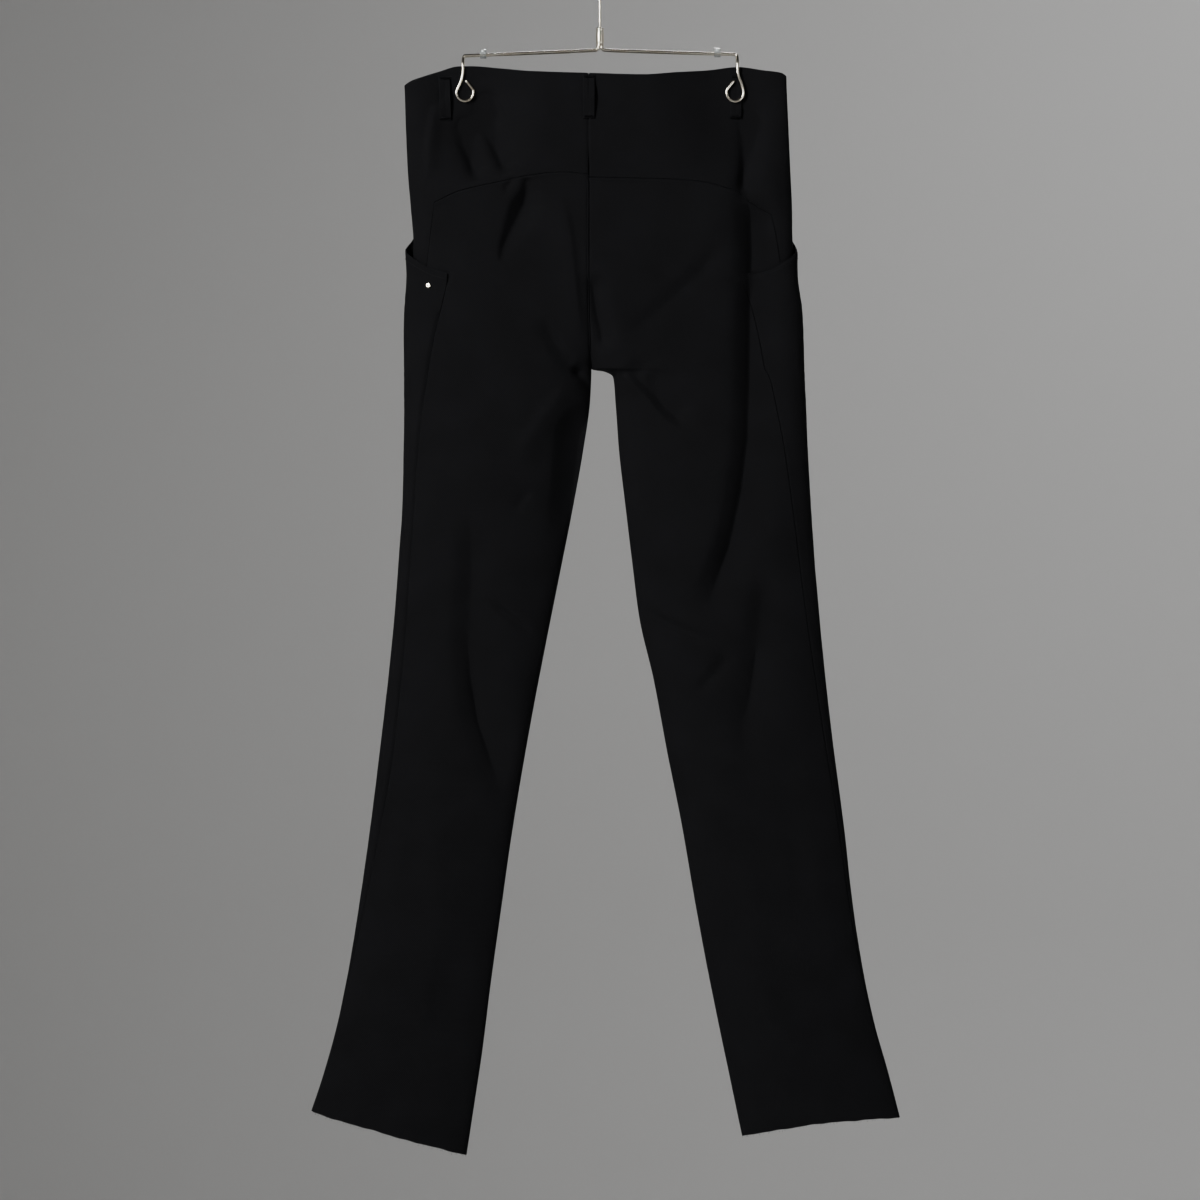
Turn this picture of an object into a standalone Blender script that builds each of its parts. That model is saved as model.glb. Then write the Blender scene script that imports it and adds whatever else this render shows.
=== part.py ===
"""Slim trousers hung by the waist edge from a wire clip hanger, seen from the back.

World frame: metres, +Z up, the back of the trousers faces -Y, the wearer's left is at -X.
The origin is the top of the inside of the hanger's hook, where a rail would carry it.
Lengths in the tables are millimetres. "drop" is the distance below the level waist line.
"""
import math

import bmesh
import bpy
import numpy as np
from mathutils import Vector
from mathutils.bvhtree import BVHTree

MM = 0.001
COLLECTION = "Slim trousers on a clip hanger"

# ---- driving sizes, millimetres ------------------------------------------------------------
WAIST_LINE = -141.0       # height of the level waist line below the hook
CLOTH = 1.4               # wall of the dense cloth
SEAM_GAP = 0.3            # between two pieces that are sewn together
CENTRE_X = -11.9          # the centre-back seam
YOKE_FADE = 100.0         # the uneven waist edge levels out over this drop
CROTCH = 317.5            # drop of the crotch point
SEAT_START = 232.0        # the centre seam begins to curve under here
SPLAY = 3.0               # the front layer hangs this much lower at the left hem
RIGHT_HEM_BOW = 5.5       # the right hem arches up this much in its middle
HEM_ZONE = 0.9            # both of these begin at this share of the leg's length
FOLD_TAPER = 0.3          # share of a fold's length over which each end fades out

CLIP_X = (-145.5, 145.8)  # middle of each clip
CLIP_DROP = 19.0
PINCHED = 3.6             # half thickness of the waist where a clip closes it
PINCH_FLAT = 15.0         # radius of the flat spot under a clip
PINCH_END = 60.0          # the pinch has opened out again at this radius
PINCH_LENGTHEN = 0.5      # the pinch runs this much further down than sideways

POCKET_LIFT = (8.6, 5.2)  # how far the pocket mouth stands off the hip, left and right

WIRE = 2.8                # hanger wire
HOOK_WIRE = 2.6
HOOK_RADIUS = 20.0

BELT_LOOP = dict(width=13.0, length=47.0, thick=1.4, bow=3.0)
FLY = dict(top=4.0, inset=1.0, width=36.0, length=158.0, thick=1.4, rounded=0.2, narrowed=0.75)
BUTTON = dict(inset=19.0, drop=20.0, radius=8.5, thick=3.0, edge=0.8, gap=0.35)
RIVET = dict(x=-183.6, drop=229.0, radius=2.8, thick=1.4, edge=0.4, gap=0.65)

# Rings of each leg, from the waist to the hem. Each ring is a slanted lens between an outer and
# an inner point; "seam" is how far across the back the outseam lies, "back" and "front" are the
# half depths of the two walls.
RING_COLUMNS = ("drop_out", "x_out", "drop_in", "x_in", "seam", "back", "front")
LEFT_RINGS = (
    (0.0, -211.1, 0.0, -11.9, 0.800, 17.0, 16.0),
    (52.9, -209.7, 52.9, -11.9, 0.800, 18.5, 17.5),
    (102.6, -207.7, 102.6, -11.9, 0.800, 21.0, 19.0),
    (145.8, -204.2, 145.8, -11.9, 0.800, 23.0, 20.0),
    (181.4, -201.7, 181.4, -11.9, 0.800, 24.5, 21.0),
    (216.0, -201.7, 216.0, -11.9, 0.800, 26.0, 22.0),
    (253.8, -205.4, 253.8, -11.5, 0.822, 27.0, 22.5),
    (286.2, -208.0, 286.2, -10.5, 0.851, 28.0, 23.0),
    (CROTCH, -209.6, CROTCH, -9.2, 0.874, 28.5, 23.5),
    (325.0, -210.0, 326.0, -9.3, 0.878, 28.5, 23.5),
    (336.0, -210.4, 337.0, -9.8, 0.884, 28.5, 24.0),
    (349.0, -211.0, 351.0, -10.5, 0.892, 28.5, 24.0),
    (400.0, -212.1, 405.0, -18.0, 0.914, 28.0, 24.0),
    (459.0, -213.3, 470.0, -29.7, 0.927, 27.0, 24.0),
    (524.0, -217.6, 537.0, -43.0, 0.925, 25.0, 23.0),
    (589.0, -222.5, 604.0, -56.4, 0.917, 23.0, 22.0),
    (653.0, -229.0, 675.0, -70.2, 0.908, 21.5, 21.0),
    (729.0, -237.8, 753.0, -84.2, 0.903, 20.0, 20.0),
    (810.0, -247.9, 826.0, -96.1, 0.925, 19.0, 19.0),
    (891.0, -259.4, 910.0, -108.0, 0.955, 18.0, 18.0),
    (962.0, -270.9, 984.0, -118.3, 0.980, 17.0, 17.0),
    (1025.0, -284.0, 1053.0, -126.9, 0.990, 16.5, 16.0),
    (1080.0, -299.2, 1107.0, -135.0, 0.990, 16.0, 15.5),
    (1119.0, -312.1, 1166.0, -144.1, 0.990, 15.5, 15.0),
)
RIGHT_RINGS = (
    (0.0, 201.1, 0.0, -11.9, 0.745, 17.0, 16.0),
    (52.9, 203.5, 52.9, -11.9, 0.745, 18.5, 17.5),
    (102.6, 205.6, 102.6, -11.9, 0.745, 21.0, 19.0),
    (145.8, 207.5, 145.8, -11.9, 0.745, 23.0, 20.0),
    (181.4, 208.0, 181.4, -11.9, 0.745, 24.5, 21.0),
    (216.0, 209.0, 216.0, -11.9, 0.745, 26.0, 22.0),
    (253.8, 214.9, 253.8, -11.5, 0.776, 27.0, 22.5),
    (286.2, 217.6, 286.2, -10.5, 0.798, 28.0, 23.0),
    (CROTCH, 219.6, CROTCH, -9.2, 0.815, 28.5, 23.5),
    (325.0, 220.2, 320.2, 4.3, 0.818, 28.5, 23.5),
    (336.0, 220.9, 326.2, 14.0, 0.824, 28.5, 24.0),
    (356.0, 222.4, 355.3, 16.8, 0.838, 28.5, 24.0),
    (405.0, 224.6, 405.0, 20.4, 0.872, 28.0, 24.0),
    (464.0, 227.9, 464.0, 27.2, 0.895, 27.0, 24.0),
    (527.0, 232.2, 527.0, 34.8, 0.912, 25.0, 23.0),
    (586.0, 237.3, 586.0, 42.4, 0.924, 23.0, 22.0),
    (653.0, 243.8, 653.0, 57.9, 0.938, 21.5, 21.0),
    (729.0, 252.7, 729.0, 72.1, 0.952, 20.0, 20.0),
    (810.0, 263.4, 810.0, 88.3, 0.964, 19.0, 19.0),
    (891.0, 272.5, 893.0, 102.6, 0.975, 18.0, 18.0),
    (957.0, 282.4, 959.0, 114.8, 0.985, 17.0, 17.0),
    (1021.0, 295.6, 1027.0, 128.5, 0.990, 16.5, 16.0),
    (1078.0, 311.6, 1086.0, 140.9, 0.990, 16.0, 15.5),
    (1126.0, 324.0, 1146.0, 153.4, 0.990, 15.5, 15.0),
)

# The waist edge rises to the two clips and sags between them: (x, rise above the waist line).
WAIST_EDGE = (
    (-212.0, -11.5), (-203.0, -6.5), (-190.0, -2.2), (-177.0, 2.0), (-151.0, 9.1), (-138.0, 9.2),
    (-108.0, 6.4), (-73.0, 2.4), (-12.0, 0.0), (48.0, -1.5), (82.0, 1.5), (117.0, 4.6),
    (149.0, 8.3), (177.0, 4.5), (195.0, 2.1), (203.0, -2.0),
)

# Upper seam of each back leg against the yoke: (x, drop), from the centre out to its corner.
YOKE_SEAM = (
    ((-11.9, 106.3), (-39.0, 103.7), (-79.0, 108.0), (-106.0, 114.5), (-132.0, 120.4),
     (-152.0, 126.4), (-178.2, 139.3)),
    ((-11.9, 109.7), (72.4, 112.2), (112.3, 115.6), (136.6, 122.9), (147.4, 126.4),
     (161.5, 137.8), (184.7, 151.2)),
)
# From that corner the seam turns down to the pocket mouth, a little further out: (x, drop).
YOKE_SIDE = (
    ((-178.2, 139.3), (-182.5, 172.0), (-186.3, 204.0)),
    ((184.7, 151.2), (189.5, 172.0), (193.3, 196.0)),
)

# Pocket mouth round the side: how far round the leg (0 inner back, 1 side, 2 inner front), drop,
# share of the pocket's lift, and the drop to which the yoke runs on behind it. The yoke ends one
# column before the lift does.
MOUTH_COLUMNS = ("round", "drop", "lift", "backing")
MOUTH = (
    (0.710, 216.0, 0.00, 216.0),
    (0.770, 212.5, 0.20, 226.0),
    (0.825, 207.0, 0.45, 233.0),
    (0.900, 199.0, 0.80, 228.0),
    (1.000, 189.0, 1.00, 220.0),
    (1.090, 176.0, 0.90, 210.0),
    (1.160, 146.0, 0.80, 184.0),
    (1.210, 88.0, 0.72, 134.0),
    (1.250, 0.0, 0.68, 56.0),
    (1.292, 0.0, 0.60, 20.0),
    (1.345, 0.0, 0.00, 0.0),
    (2.000, 0.0, 0.00, 0.0),
)
POCKET_NARROWED = (1.0, 0.86)   # the right pocket reaches this share as far round the front
LIFT_FADE = ((0.0, 1.0), (20.0, 0.93), (43.0, 0.83), (65.0, 0.70), (86.0, 0.57), (108.0, 0.40),
             (128.0, 0.26), (150.0, 0.13), (175.0, 0.03), (190.0, 0.0))

# Main folds pressed into (depth > 0) or standing proud of (depth < 0) a wall: the line that the
# fold follows as (x, drop) points, its half width and its depth.
FOLDS = (
    dict(wall="back", line=((150, 48), (148, 124), (150, 351), (144, 423), (133, 481), (121, 538),
                            (109, 572)), half=12.0, deep=9.0),
    dict(wall="back", line=((170, 596), (161, 653), (152, 711)), half=14.0, deep=5.0),
    dict(wall="back", line=((17, 327), (43, 346), (70, 378), (86, 400)), half=10.0, deep=5.5),
    dict(wall="back", line=((-145, 62), (-140, 90), (-135, 122)), half=9.0, deep=4.5),
    dict(wall="back", line=((-132, 40), (-119, 70), (-107, 114)), half=9.0, deep=4.0),
    dict(wall="back", line=((-185, 33), (-186, 112)), half=9.0, deep=-3.0),
    dict(wall="back", line=((-80, 108), (-97, 167), (-108, 205)), half=11.0, deep=4.5),
    dict(wall="back", line=((-16, 335), (-65, 400), (-103, 424)), half=10.0, deep=-5.0),
    dict(wall="back", line=((-20, 362), (-51, 402), (-80, 440)), half=11.0, deep=7.0),
    dict(wall="back", line=((-139, 470), (-146, 596), (-137, 683), (-125, 760)), half=15.0,
         deep=6.0),
    dict(wall="front", line=((140, 60), (126, 110), (112, 150)), half=12.0, deep=4.5),
    dict(wall="front", line=((-140, 60), (-122, 104), (-100, 152)), half=12.0, deep=4.5),
    dict(wall="front", line=((22, 345), (62, 322), (104, 290)), half=13.0, deep=5.0),
    dict(wall="front", line=((-30, 352), (-74, 330), (-118, 296)), half=13.0, deep=5.0),
    dict(wall="front", line=((132, 470), (128, 590), (140, 700)), half=16.0, deep=5.0),
    dict(wall="front", line=((-122, 480), (-146, 600), (-150, 720)), half=16.0, deep=5.0),
)

# Rows of each leg piece along its length, as shares of the way.
HIP_ROWS = (0.0, 0.118, 0.256, 0.414, 0.581, 0.729, 0.847, 0.926, 0.975, 1.0)
LEG_ROWS = (0.0, 0.009, 0.023, 0.048, 0.085, 0.13, 0.175, 0.22, 0.265, 0.31, 0.355, 0.40, 0.445,
            0.49, 0.54, 0.59, 0.64, 0.69, 0.74, 0.79, 0.84, 0.89, 0.945, 1.0)
BACK_COLUMNS = 16
YOKE_ROWS = 6
FRONT_COLUMNS = 7         # from the pocket to the centre front


# ---- curves through the tables -------------------------------------------------------------
def smooth(xs, ys, x):
    """A smooth curve through (xs, ys) that never overshoots them."""
    xs, ys = np.asarray(xs, float), np.asarray(ys, float)
    step = np.diff(xs)
    slope = np.diff(ys) / step
    tangent = np.zeros(len(xs))
    product = slope[:-1] * slope[1:]
    total = np.where(product > 0, slope[:-1] + slope[1:], 1.0)
    tangent[1:-1] = np.where(product > 0, 2 * product / total, 0.0)
    tangent[0], tangent[-1] = slope[0], slope[-1]
    x = np.clip(x, xs[0], xs[-1])
    k = np.clip(np.searchsorted(xs, x) - 1, 0, len(xs) - 2)
    t = (x - xs[k]) / step[k]
    return ((2 * t**3 - 3 * t**2 + 1) * ys[k] + (t**3 - 2 * t**2 + t) * step[k] * tangent[k]
            + (3 * t**2 - 2 * t**3) * ys[k + 1] + (t**3 - t**2) * step[k] * tangent[k + 1])


def ease(start, end, x):
    """0 before start, 1 after end, and a smooth step between them."""
    t = np.clip((x - start) / (end - start), 0.0, 1.0)
    return t * t * (3 - 2 * t)


def column(rows, columns, name):
    return [row[columns.index(name)] for row in rows]


class Leg:
    """One half of the trousers: the surface that every piece of it is cut from."""

    def __init__(self, name, side, rings):
        self.name, self.side, self.rings = name, side, rings
        self.index = 0 if side < 0 else 1
        self.hem = rings[-1][0]
        self.lift = POCKET_LIFT[self.index]
        self.narrowed = POCKET_NARROWED[self.index]

    def ring(self, column_name, drop):
        return smooth(column(self.rings, RING_COLUMNS, "drop_out"),
                      column(self.rings, RING_COLUMNS, column_name), drop)

    def seam_round(self, drop):
        """How far round the leg the outseam lies."""
        return np.arccos(1 - 2 * self.ring("seam", drop)) / math.pi

    def round_at(self, x, drop):
        """How far round the back of the leg a given x lies."""
        share = (x - self.ring("x_in", drop)) / (self.ring("x_out", drop) - self.ring("x_in", drop))
        return np.arccos(1 - 2 * np.clip(share, 0.0, 1.0)) / math.pi

    def surface(self, around, drop):
        """Outer face of the cloth: around is 0 inner back, 1 side, 2 inner front."""
        around, drop = np.broadcast_arrays(np.asarray(around, float), np.asarray(drop, float))
        turn = math.pi * around
        across = (1 - np.cos(turn)) / 2
        x_in, drop_in = self.ring("x_in", drop), self.ring("drop_in", drop)
        x = x_in + (self.ring("x_out", drop) - x_in) * across
        down = drop_in + (drop - drop_in) * across

        is_back = around <= 1
        wall = np.where(is_back, -1.0, 1.0)
        deep = np.where(is_back, self.ring("back", drop), self.ring("front", drop))
        sine = np.abs(np.sin(turn))
        seat = np.clip((drop - SEAT_START) / (CROTCH - SEAT_START), 0.0, 1.0)
        centre = np.sqrt(1 - seat**2)
        inner = np.sqrt(centre**2 + (1 - centre**2) * sine**2)
        profile = np.where(np.cos(turn) > 0, inner, sine)

        hem = ease(HEM_ZONE * self.hem, self.hem, drop)
        if self.side < 0:
            down = down + np.where(is_back, 0.0, SPLAY) * sine * hem
        else:
            down = down - RIGHT_HEM_BOW * sine**2 * hem
        y = wall * deep * profile - wall * fold_depth(x, down, is_back) * np.minimum(1, 1.5 * profile)

        clip_x = CLIP_X[self.index]
        reach = np.hypot(x - clip_x, PINCH_LENGTHEN * np.maximum(0.0, down - CLIP_DROP))
        pinch = 1 - ease(PINCH_FLAT, PINCH_END, reach)
        y = wall * (np.abs(y) + (np.minimum(np.abs(y), PINCHED) - np.abs(y)) * pinch)

        edge_x, edge_rise = zip(*WAIST_EDGE)
        rise = smooth(edge_x, edge_rise, x) * (1 - ease(0.0, YOKE_FADE, drop))
        return np.stack([x, y, WAIST_LINE - down + rise], axis=-1)

    def normal(self, around, drop):
        """Unit vectors that point out of the cloth."""
        around, drop = np.broadcast_arrays(np.asarray(around, float), np.asarray(drop, float))
        side_step, down_step = 0.002, 0.5
        low, high = np.clip(around - side_step, 0, 2), np.clip(around + side_step, 0, 2)
        above, below = np.clip(drop - down_step, 0, self.hem), np.clip(drop + down_step, 0, self.hem)
        along = self.surface(high, drop) - self.surface(low, drop)
        down = self.surface(around, below) - self.surface(around, above)
        normal = -self.side * np.cross(along, down)
        return normal / np.linalg.norm(normal, axis=-1, keepdims=True)

    def pocket_rounds(self):
        """How far round the leg each column of the mouth's table lies, but for the last."""
        rounds = np.array(column(MOUTH, MOUTH_COLUMNS, "round")[:-1])
        return np.where(rounds > 1, 1 + (rounds - 1) * self.narrowed, rounds)

    def mouth(self, column_name, around):
        return np.interp(around, np.append(self.pocket_rounds(), 2.0),
                         column(MOUTH, MOUTH_COLUMNS, column_name))

    def lifted(self, around, drop):
        """How far the front piece stands off the surface, because of its pocket."""
        fade_drop, fade = zip(*LIFT_FADE)
        below = np.maximum(0.0, drop - self.mouth("drop", around))
        return self.lift * self.mouth("lift", around) * np.interp(below, fade_drop, fade)

    def place(self, x, down, on_back=True):
        """The point of the surface at x, a given distance under the waist line, and its normal."""
        drop = np.asarray(down, float)
        edge_x, edge_rise = zip(*WAIST_EDGE)
        for _ in range(30):
            drop = down + smooth(edge_x, edge_rise, x) * (1 - ease(0.0, YOKE_FADE, drop))
        around = self.round_at(x, drop)
        around = around if on_back else 2 - around
        return self.surface(around, drop), self.normal(around, drop)


def fold_depth(x, down, is_back):
    """Sum of the folds at each point of a wall."""
    depth = np.zeros(np.shape(x))
    for fold in FOLDS:
        line = np.array(fold["line"], float)
        lengths = np.linalg.norm(np.diff(line, axis=0), axis=1)
        nearest = np.full(np.shape(x), 1e9)
        along = np.zeros(np.shape(x))
        start = 0.0
        for (ax, ad), (bx, bd), length in zip(line[:-1], line[1:], lengths):
            t = np.clip(((x - ax) * (bx - ax) + (down - ad) * (bd - ad)) / length**2, 0, 1)
            distance = np.hypot(x - ax - t * (bx - ax), down - ad - t * (bd - ad))
            closer = distance < nearest
            nearest = np.where(closer, distance, nearest)
            along = np.where(closer, start + t * length, along)
            start += length
        faded = FOLD_TAPER * start
        taper = ease(0, faded, along) * ease(0, faded, start - along)
        on_wall = is_back if fold["wall"] == "back" else ~is_back
        depth += np.where(on_wall, fold["deep"] * taper * np.exp(-(nearest / fold["half"])**2), 0.0)
    return depth


# ---- making solids -------------------------------------------------------------------------
def material(name, colour, roughness, metallic=0.0, alpha=1.0):
    made = bpy.data.materials.new(name)
    made.use_nodes = True
    shader = made.node_tree.nodes["Principled BSDF"]
    shader.inputs["Base Color"].default_value = (*colour, 1.0)
    shader.inputs["Roughness"].default_value = roughness
    shader.inputs["Metallic"].default_value = metallic
    shader.inputs["Alpha"].default_value = alpha
    return made


def cloth(name):
    return material("dense black cloth, " + name, (0.0075, 0.0078, 0.0095), 0.85)


def steel(name):
    return material("polished steel, " + name, (0.72, 0.69, 0.63), 0.22, metallic=1.0)


def add_mesh(name, bm, surface_material):
    mesh = bpy.data.meshes.new(name)
    bmesh.ops.recalc_face_normals(bm, faces=bm.faces)
    bm.to_mesh(mesh)
    bm.free()
    mesh.shade_smooth()
    mesh.set_sharp_from_angle(angle=math.radians(40))
    mesh.materials.append(surface_material)
    made = bpy.data.objects.new(name, mesh)
    bpy.data.collections[COLLECTION].objects.link(made)
    return made


def ring_of(rows, cols):
    """The border of a grid, as (row, column) pairs in order."""
    return ([(0, c) for c in range(cols)] + [(r, cols - 1) for r in range(1, rows)]
            + [(rows - 1, c) for c in range(cols - 2, -1, -1)]
            + [(r, 0) for r in range(rows - 2, 0, -1)])


def seam_allowance(points, normals):
    """How far each border point draws in, so that two sewn pieces keep their gap."""
    rows, cols = points.shape[:2]
    border = ring_of(rows, cols)
    shift = np.zeros_like(points)
    row = rows // 2
    edge_run = points[row + 1, cols - 1] - points[row - 1, cols - 1]
    inward = np.cross(normals[row, cols - 1], edge_run)
    turn = 1.0 if np.dot(inward, points[row, cols - 2] - points[row, cols - 1]) > 0 else -1.0
    for k, (r, c) in enumerate(border):
        before = points[border[k - 1]]
        after = points[border[(k + 1) % len(border)]]
        drawn = []
        for run in (points[r, c] - before, after - points[r, c]):
            across = turn * np.cross(normals[r, c], run)
            drawn.append(across / np.linalg.norm(across))
        shift[r, c] = SEAM_GAP / 2 * (drawn[0] + drawn[1]) / (1 + max(-0.3, np.dot(*drawn)))
    return shift


def wall_piece(name, outer, inner, surface_material):
    """A closed wall between two grids of points, outer and inner."""
    rows, cols = outer.shape[:2]
    bm = bmesh.new()
    skins = [[[bm.verts.new(point * MM) for point in row] for row in grid]
             for grid in (outer, inner)]
    for skin in skins:
        for r in range(rows - 1):
            for c in range(cols - 1):
                bm.faces.new((skin[r][c], skin[r][c + 1], skin[r + 1][c + 1], skin[r + 1][c]))
    border = ring_of(rows, cols)
    for (r, c), (r2, c2) in zip(border, border[1:] + border[:1]):
        bm.faces.new((skins[0][r][c], skins[0][r2][c2], skins[1][r2][c2], skins[1][r][c]))
    bmesh.ops.triangulate(bm, faces=bm.faces, quad_method="SHORT_EDGE")
    return add_mesh(name, bm, surface_material)


def cut_piece(name, leg, around, drop, lift=None):
    """A piece of cloth cut from a leg's surface, moved out by lift."""
    points, normals = leg.surface(around, drop), leg.normal(around, drop)
    outer = points if lift is None else points + normals * lift[..., None]
    outer = outer + seam_allowance(outer, normals)
    return wall_piece(name, outer, outer - normals * CLOTH, cloth(name))


def skin_of(pieces):
    """The faces of some pieces, to lay others on."""
    points, faces = [], []
    for piece in pieces:
        start = len(points)
        points += [vertex.co.copy() for vertex in piece.data.vertices]
        faces += [[start + k for k in face.vertices] for face in piece.data.polygons]
    return BVHTree.FromPolygons(points, faces)


def lay_on(skin, point, normal):
    """Where a line through point, along normal, meets a skin from outside."""
    facing = Vector([float(value) for value in normal])
    target = Vector([float(value) for value in point * MM])
    hit = skin.ray_cast(target + facing * (30 * MM), -facing)[0]
    if hit is None:  # over the gap of a seam
        hit = skin.find_nearest(target)[0]
    return np.array(hit) / MM


def wire(name, points, thickness, surface_material):
    """A bent wire along points, as a poly curve with filled ends."""
    curve = bpy.data.curves.new(name, "CURVE")
    curve.dimensions = "3D"
    curve.bevel_depth = thickness / 2 * MM
    curve.bevel_resolution = 2
    curve.use_fill_caps = True
    spline = curve.splines.new("POLY")
    spline.points.add(len(points) - 1)
    for point, (x, y, z) in zip(spline.points, points):
        point.co = (x * MM, y * MM, z * MM, 1.0)
    curve.materials.append(surface_material)
    made = bpy.data.objects.new(name, curve)
    bpy.data.collections[COLLECTION].objects.link(made)
    return made


def disc(name, centre, normal, radius, thick, bevel, surface_material, sides=20):
    """A round flat piece that sits on the cloth and faces along normal."""
    bm = bmesh.new()
    bmesh.ops.create_cone(bm, cap_ends=True, segments=sides, radius1=radius * MM,
                          radius2=radius * MM, depth=thick * MM)
    rims = [edge for edge in bm.edges if abs(edge.verts[0].co.z - edge.verts[1].co.z) < 1e-7]
    bmesh.ops.bevel(bm, geom=rims, offset=bevel * MM, segments=2, affect="EDGES", profile=0.6)
    made = add_mesh(name, bm, surface_material)
    facing = Vector([float(value) for value in normal])
    made.rotation_mode = "QUATERNION"
    made.rotation_quaternion = facing.to_track_quat("Z", "Y")
    made.location = Vector([float(value) for value in centre * MM]) + facing * (thick / 2 * MM)
    return made


# ---- trousers ------------------------------------------------------------------------------
def yoke_line(leg, shares):
    """Points (round, drop) of the yoke's seam, at shares of the way out to its corner."""
    xs, drops = zip(*YOKE_SEAM[leg.index])
    corner = leg.round_at(xs[-1], drops[-1])
    around = shares * corner
    drop = np.full(len(shares), drops[0])
    for _ in range(8):
        x = leg.surface(around, drop)[:, 0]
        order = 1 if leg.side > 0 else -1
        drop = smooth([order * value for value in xs], drops, order * x)
    return around, drop


def side_line(leg):
    """Points (round, drop) where the seam turns down from its corner to the pocket mouth."""
    xs, drops = (np.array(values) for values in zip(*YOKE_SIDE[leg.index]))
    return leg.round_at(xs, drops), drops


def make_back_leg(leg):
    shares = np.linspace(0, 1, BACK_COLUMNS + 1)
    _, seam_drop = yoke_line(leg, shares)
    side_round, side_drop = side_line(leg)
    pocket_corner = MOUTH[0][1]
    centre_start = seam_drop[0] + 0.25 * (CROTCH - seam_drop[0])

    rows_in = list(np.linspace(seam_drop[0], centre_start, 4)[:3])
    rows_in += [centre_start + (CROTCH - centre_start) * share for share in HIP_ROWS]
    rows_out = list(side_drop) + [pocket_corner + (CROTCH - pocket_corner) * s for s in HIP_ROWS]
    rows_in += [CROTCH + (leg.hem - CROTCH) * share for share in LEG_ROWS[1:]]
    rows_out += [CROTCH + (leg.hem - CROTCH) * share for share in LEG_ROWS[1:]]

    bend = seam_drop - (rows_in[0] + (rows_out[0] - rows_in[0]) * shares)
    around, drop = [], []
    for k, (inner, outer) in enumerate(zip(rows_in, rows_out)):
        row = inner + (outer - inner) * shares + bend * (1 - ease(0, 5, float(k)))
        edge = side_round[k] if k < len(side_round) else leg.seam_round(outer)
        around.append(shares * edge)
        drop.append(row)
    return cut_piece("back_leg_" + leg.name, leg, np.array(around), np.array(drop))


def make_back_yoke(leg):
    shares = np.linspace(0, 1, BACK_COLUMNS + 1)
    seam_round, seam_drop = yoke_line(leg, shares)
    side_round, side_drop = side_line(leg)
    behind = leg.pocket_rounds()[:-1]
    behind = behind[behind > side_round[-1] + 0.02]
    around = np.concatenate([seam_round, side_round[1:], behind])
    bottom = np.concatenate([seam_drop, side_drop[1:], leg.mouth("backing", behind)])
    rows = np.linspace(0, 1, YOKE_ROWS + 1)
    return cut_piece("back_yoke_" + leg.name, leg, np.tile(around, (len(rows), 1)),
                     rows[:, None] * bottom[None, :])


def make_front_leg(leg):
    pocket = leg.pocket_rounds()
    rounds = np.concatenate([pocket, np.linspace(pocket[-1], 2, FRONT_COLUMNS + 1)[1:]])
    top = leg.mouth("drop", rounds)
    around, drop = [], []
    rows = [top + (CROTCH - top) * share for share in HIP_ROWS]
    rows += [np.full(len(rounds), CROTCH + (leg.hem - CROTCH) * share) for share in LEG_ROWS[1:]]
    for row in rows:
        behind = 1 - (1 - rounds) * (1 - leg.seam_round(row[0])) / (1 - rounds[0])
        around.append(np.where(rounds < 1, behind, rounds))
        drop.append(row)
    drop = np.array(drop)
    # the lift follows the columns, so that the outseam itself is never lifted
    lift = leg.lifted(np.tile(rounds, (len(rows), 1)), drop)
    return cut_piece("front_leg_" + leg.name, leg, np.array(around), drop, lift)


def strap(name, xs, downs, legs, on_back, skin, lift, thick, surface_material):
    """A strip laid on a wall, made from the wall's own points moved out by lift."""
    outer, inner = np.zeros(xs.shape + (3,)), np.zeros(xs.shape + (3,))
    for index in np.ndindex(xs.shape):
        leg = legs[0] if xs[index] < CENTRE_X else legs[1]
        point, normal = leg.place(xs[index], downs[index], on_back)
        inner[index] = lay_on(skin, point, normal) + normal * lift[index]
        outer[index] = inner[index] + normal * thick
    return wall_piece(name, outer, inner, surface_material)


def make_belt_loops(legs, back_skin, front_skin):
    across = np.linspace(-0.5, 0.5, 3) * BELT_LOOP["width"]
    along = np.linspace(0, 1, 9)
    # name, middle x, drop of its top, lean from vertical, on the back, bow, lift of its foot
    bow = BELT_LOOP["bow"]
    rows = (
        ("belt_loop_back_centre", -11.9, 2.6, 0.0, True, bow, 0.0),
        ("belt_loop_back_left", -168.0, 2.4, 0.03, True, bow, 0.0),
        ("belt_loop_back_right", 147.0, 0.4, -0.02, True, 0.0, 1.0),
        ("belt_loop_front_left", -96.0, 0.5, 0.0, False, bow, 0.0),
        ("belt_loop_front_right", 78.0, 2.5, 0.0, False, bow, 0.0),
    )
    for name, x, top, lean, on_back, bow, foot in rows:
        downs = top + np.tile(along[:, None] * BELT_LOOP["length"], (1, len(across)))
        xs = x + across[None, :] + lean * (downs - top)
        lift = SEAM_GAP + bow * np.sin(math.pi * along) ** 2 + foot * ease(0.62, 0.9, along)
        lift = lift[:, None]
        strap(name, xs, downs, legs, on_back, back_skin if on_back else front_skin,
              np.tile(lift, (1, len(across))), BELT_LOOP["thick"], cloth(name))


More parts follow.
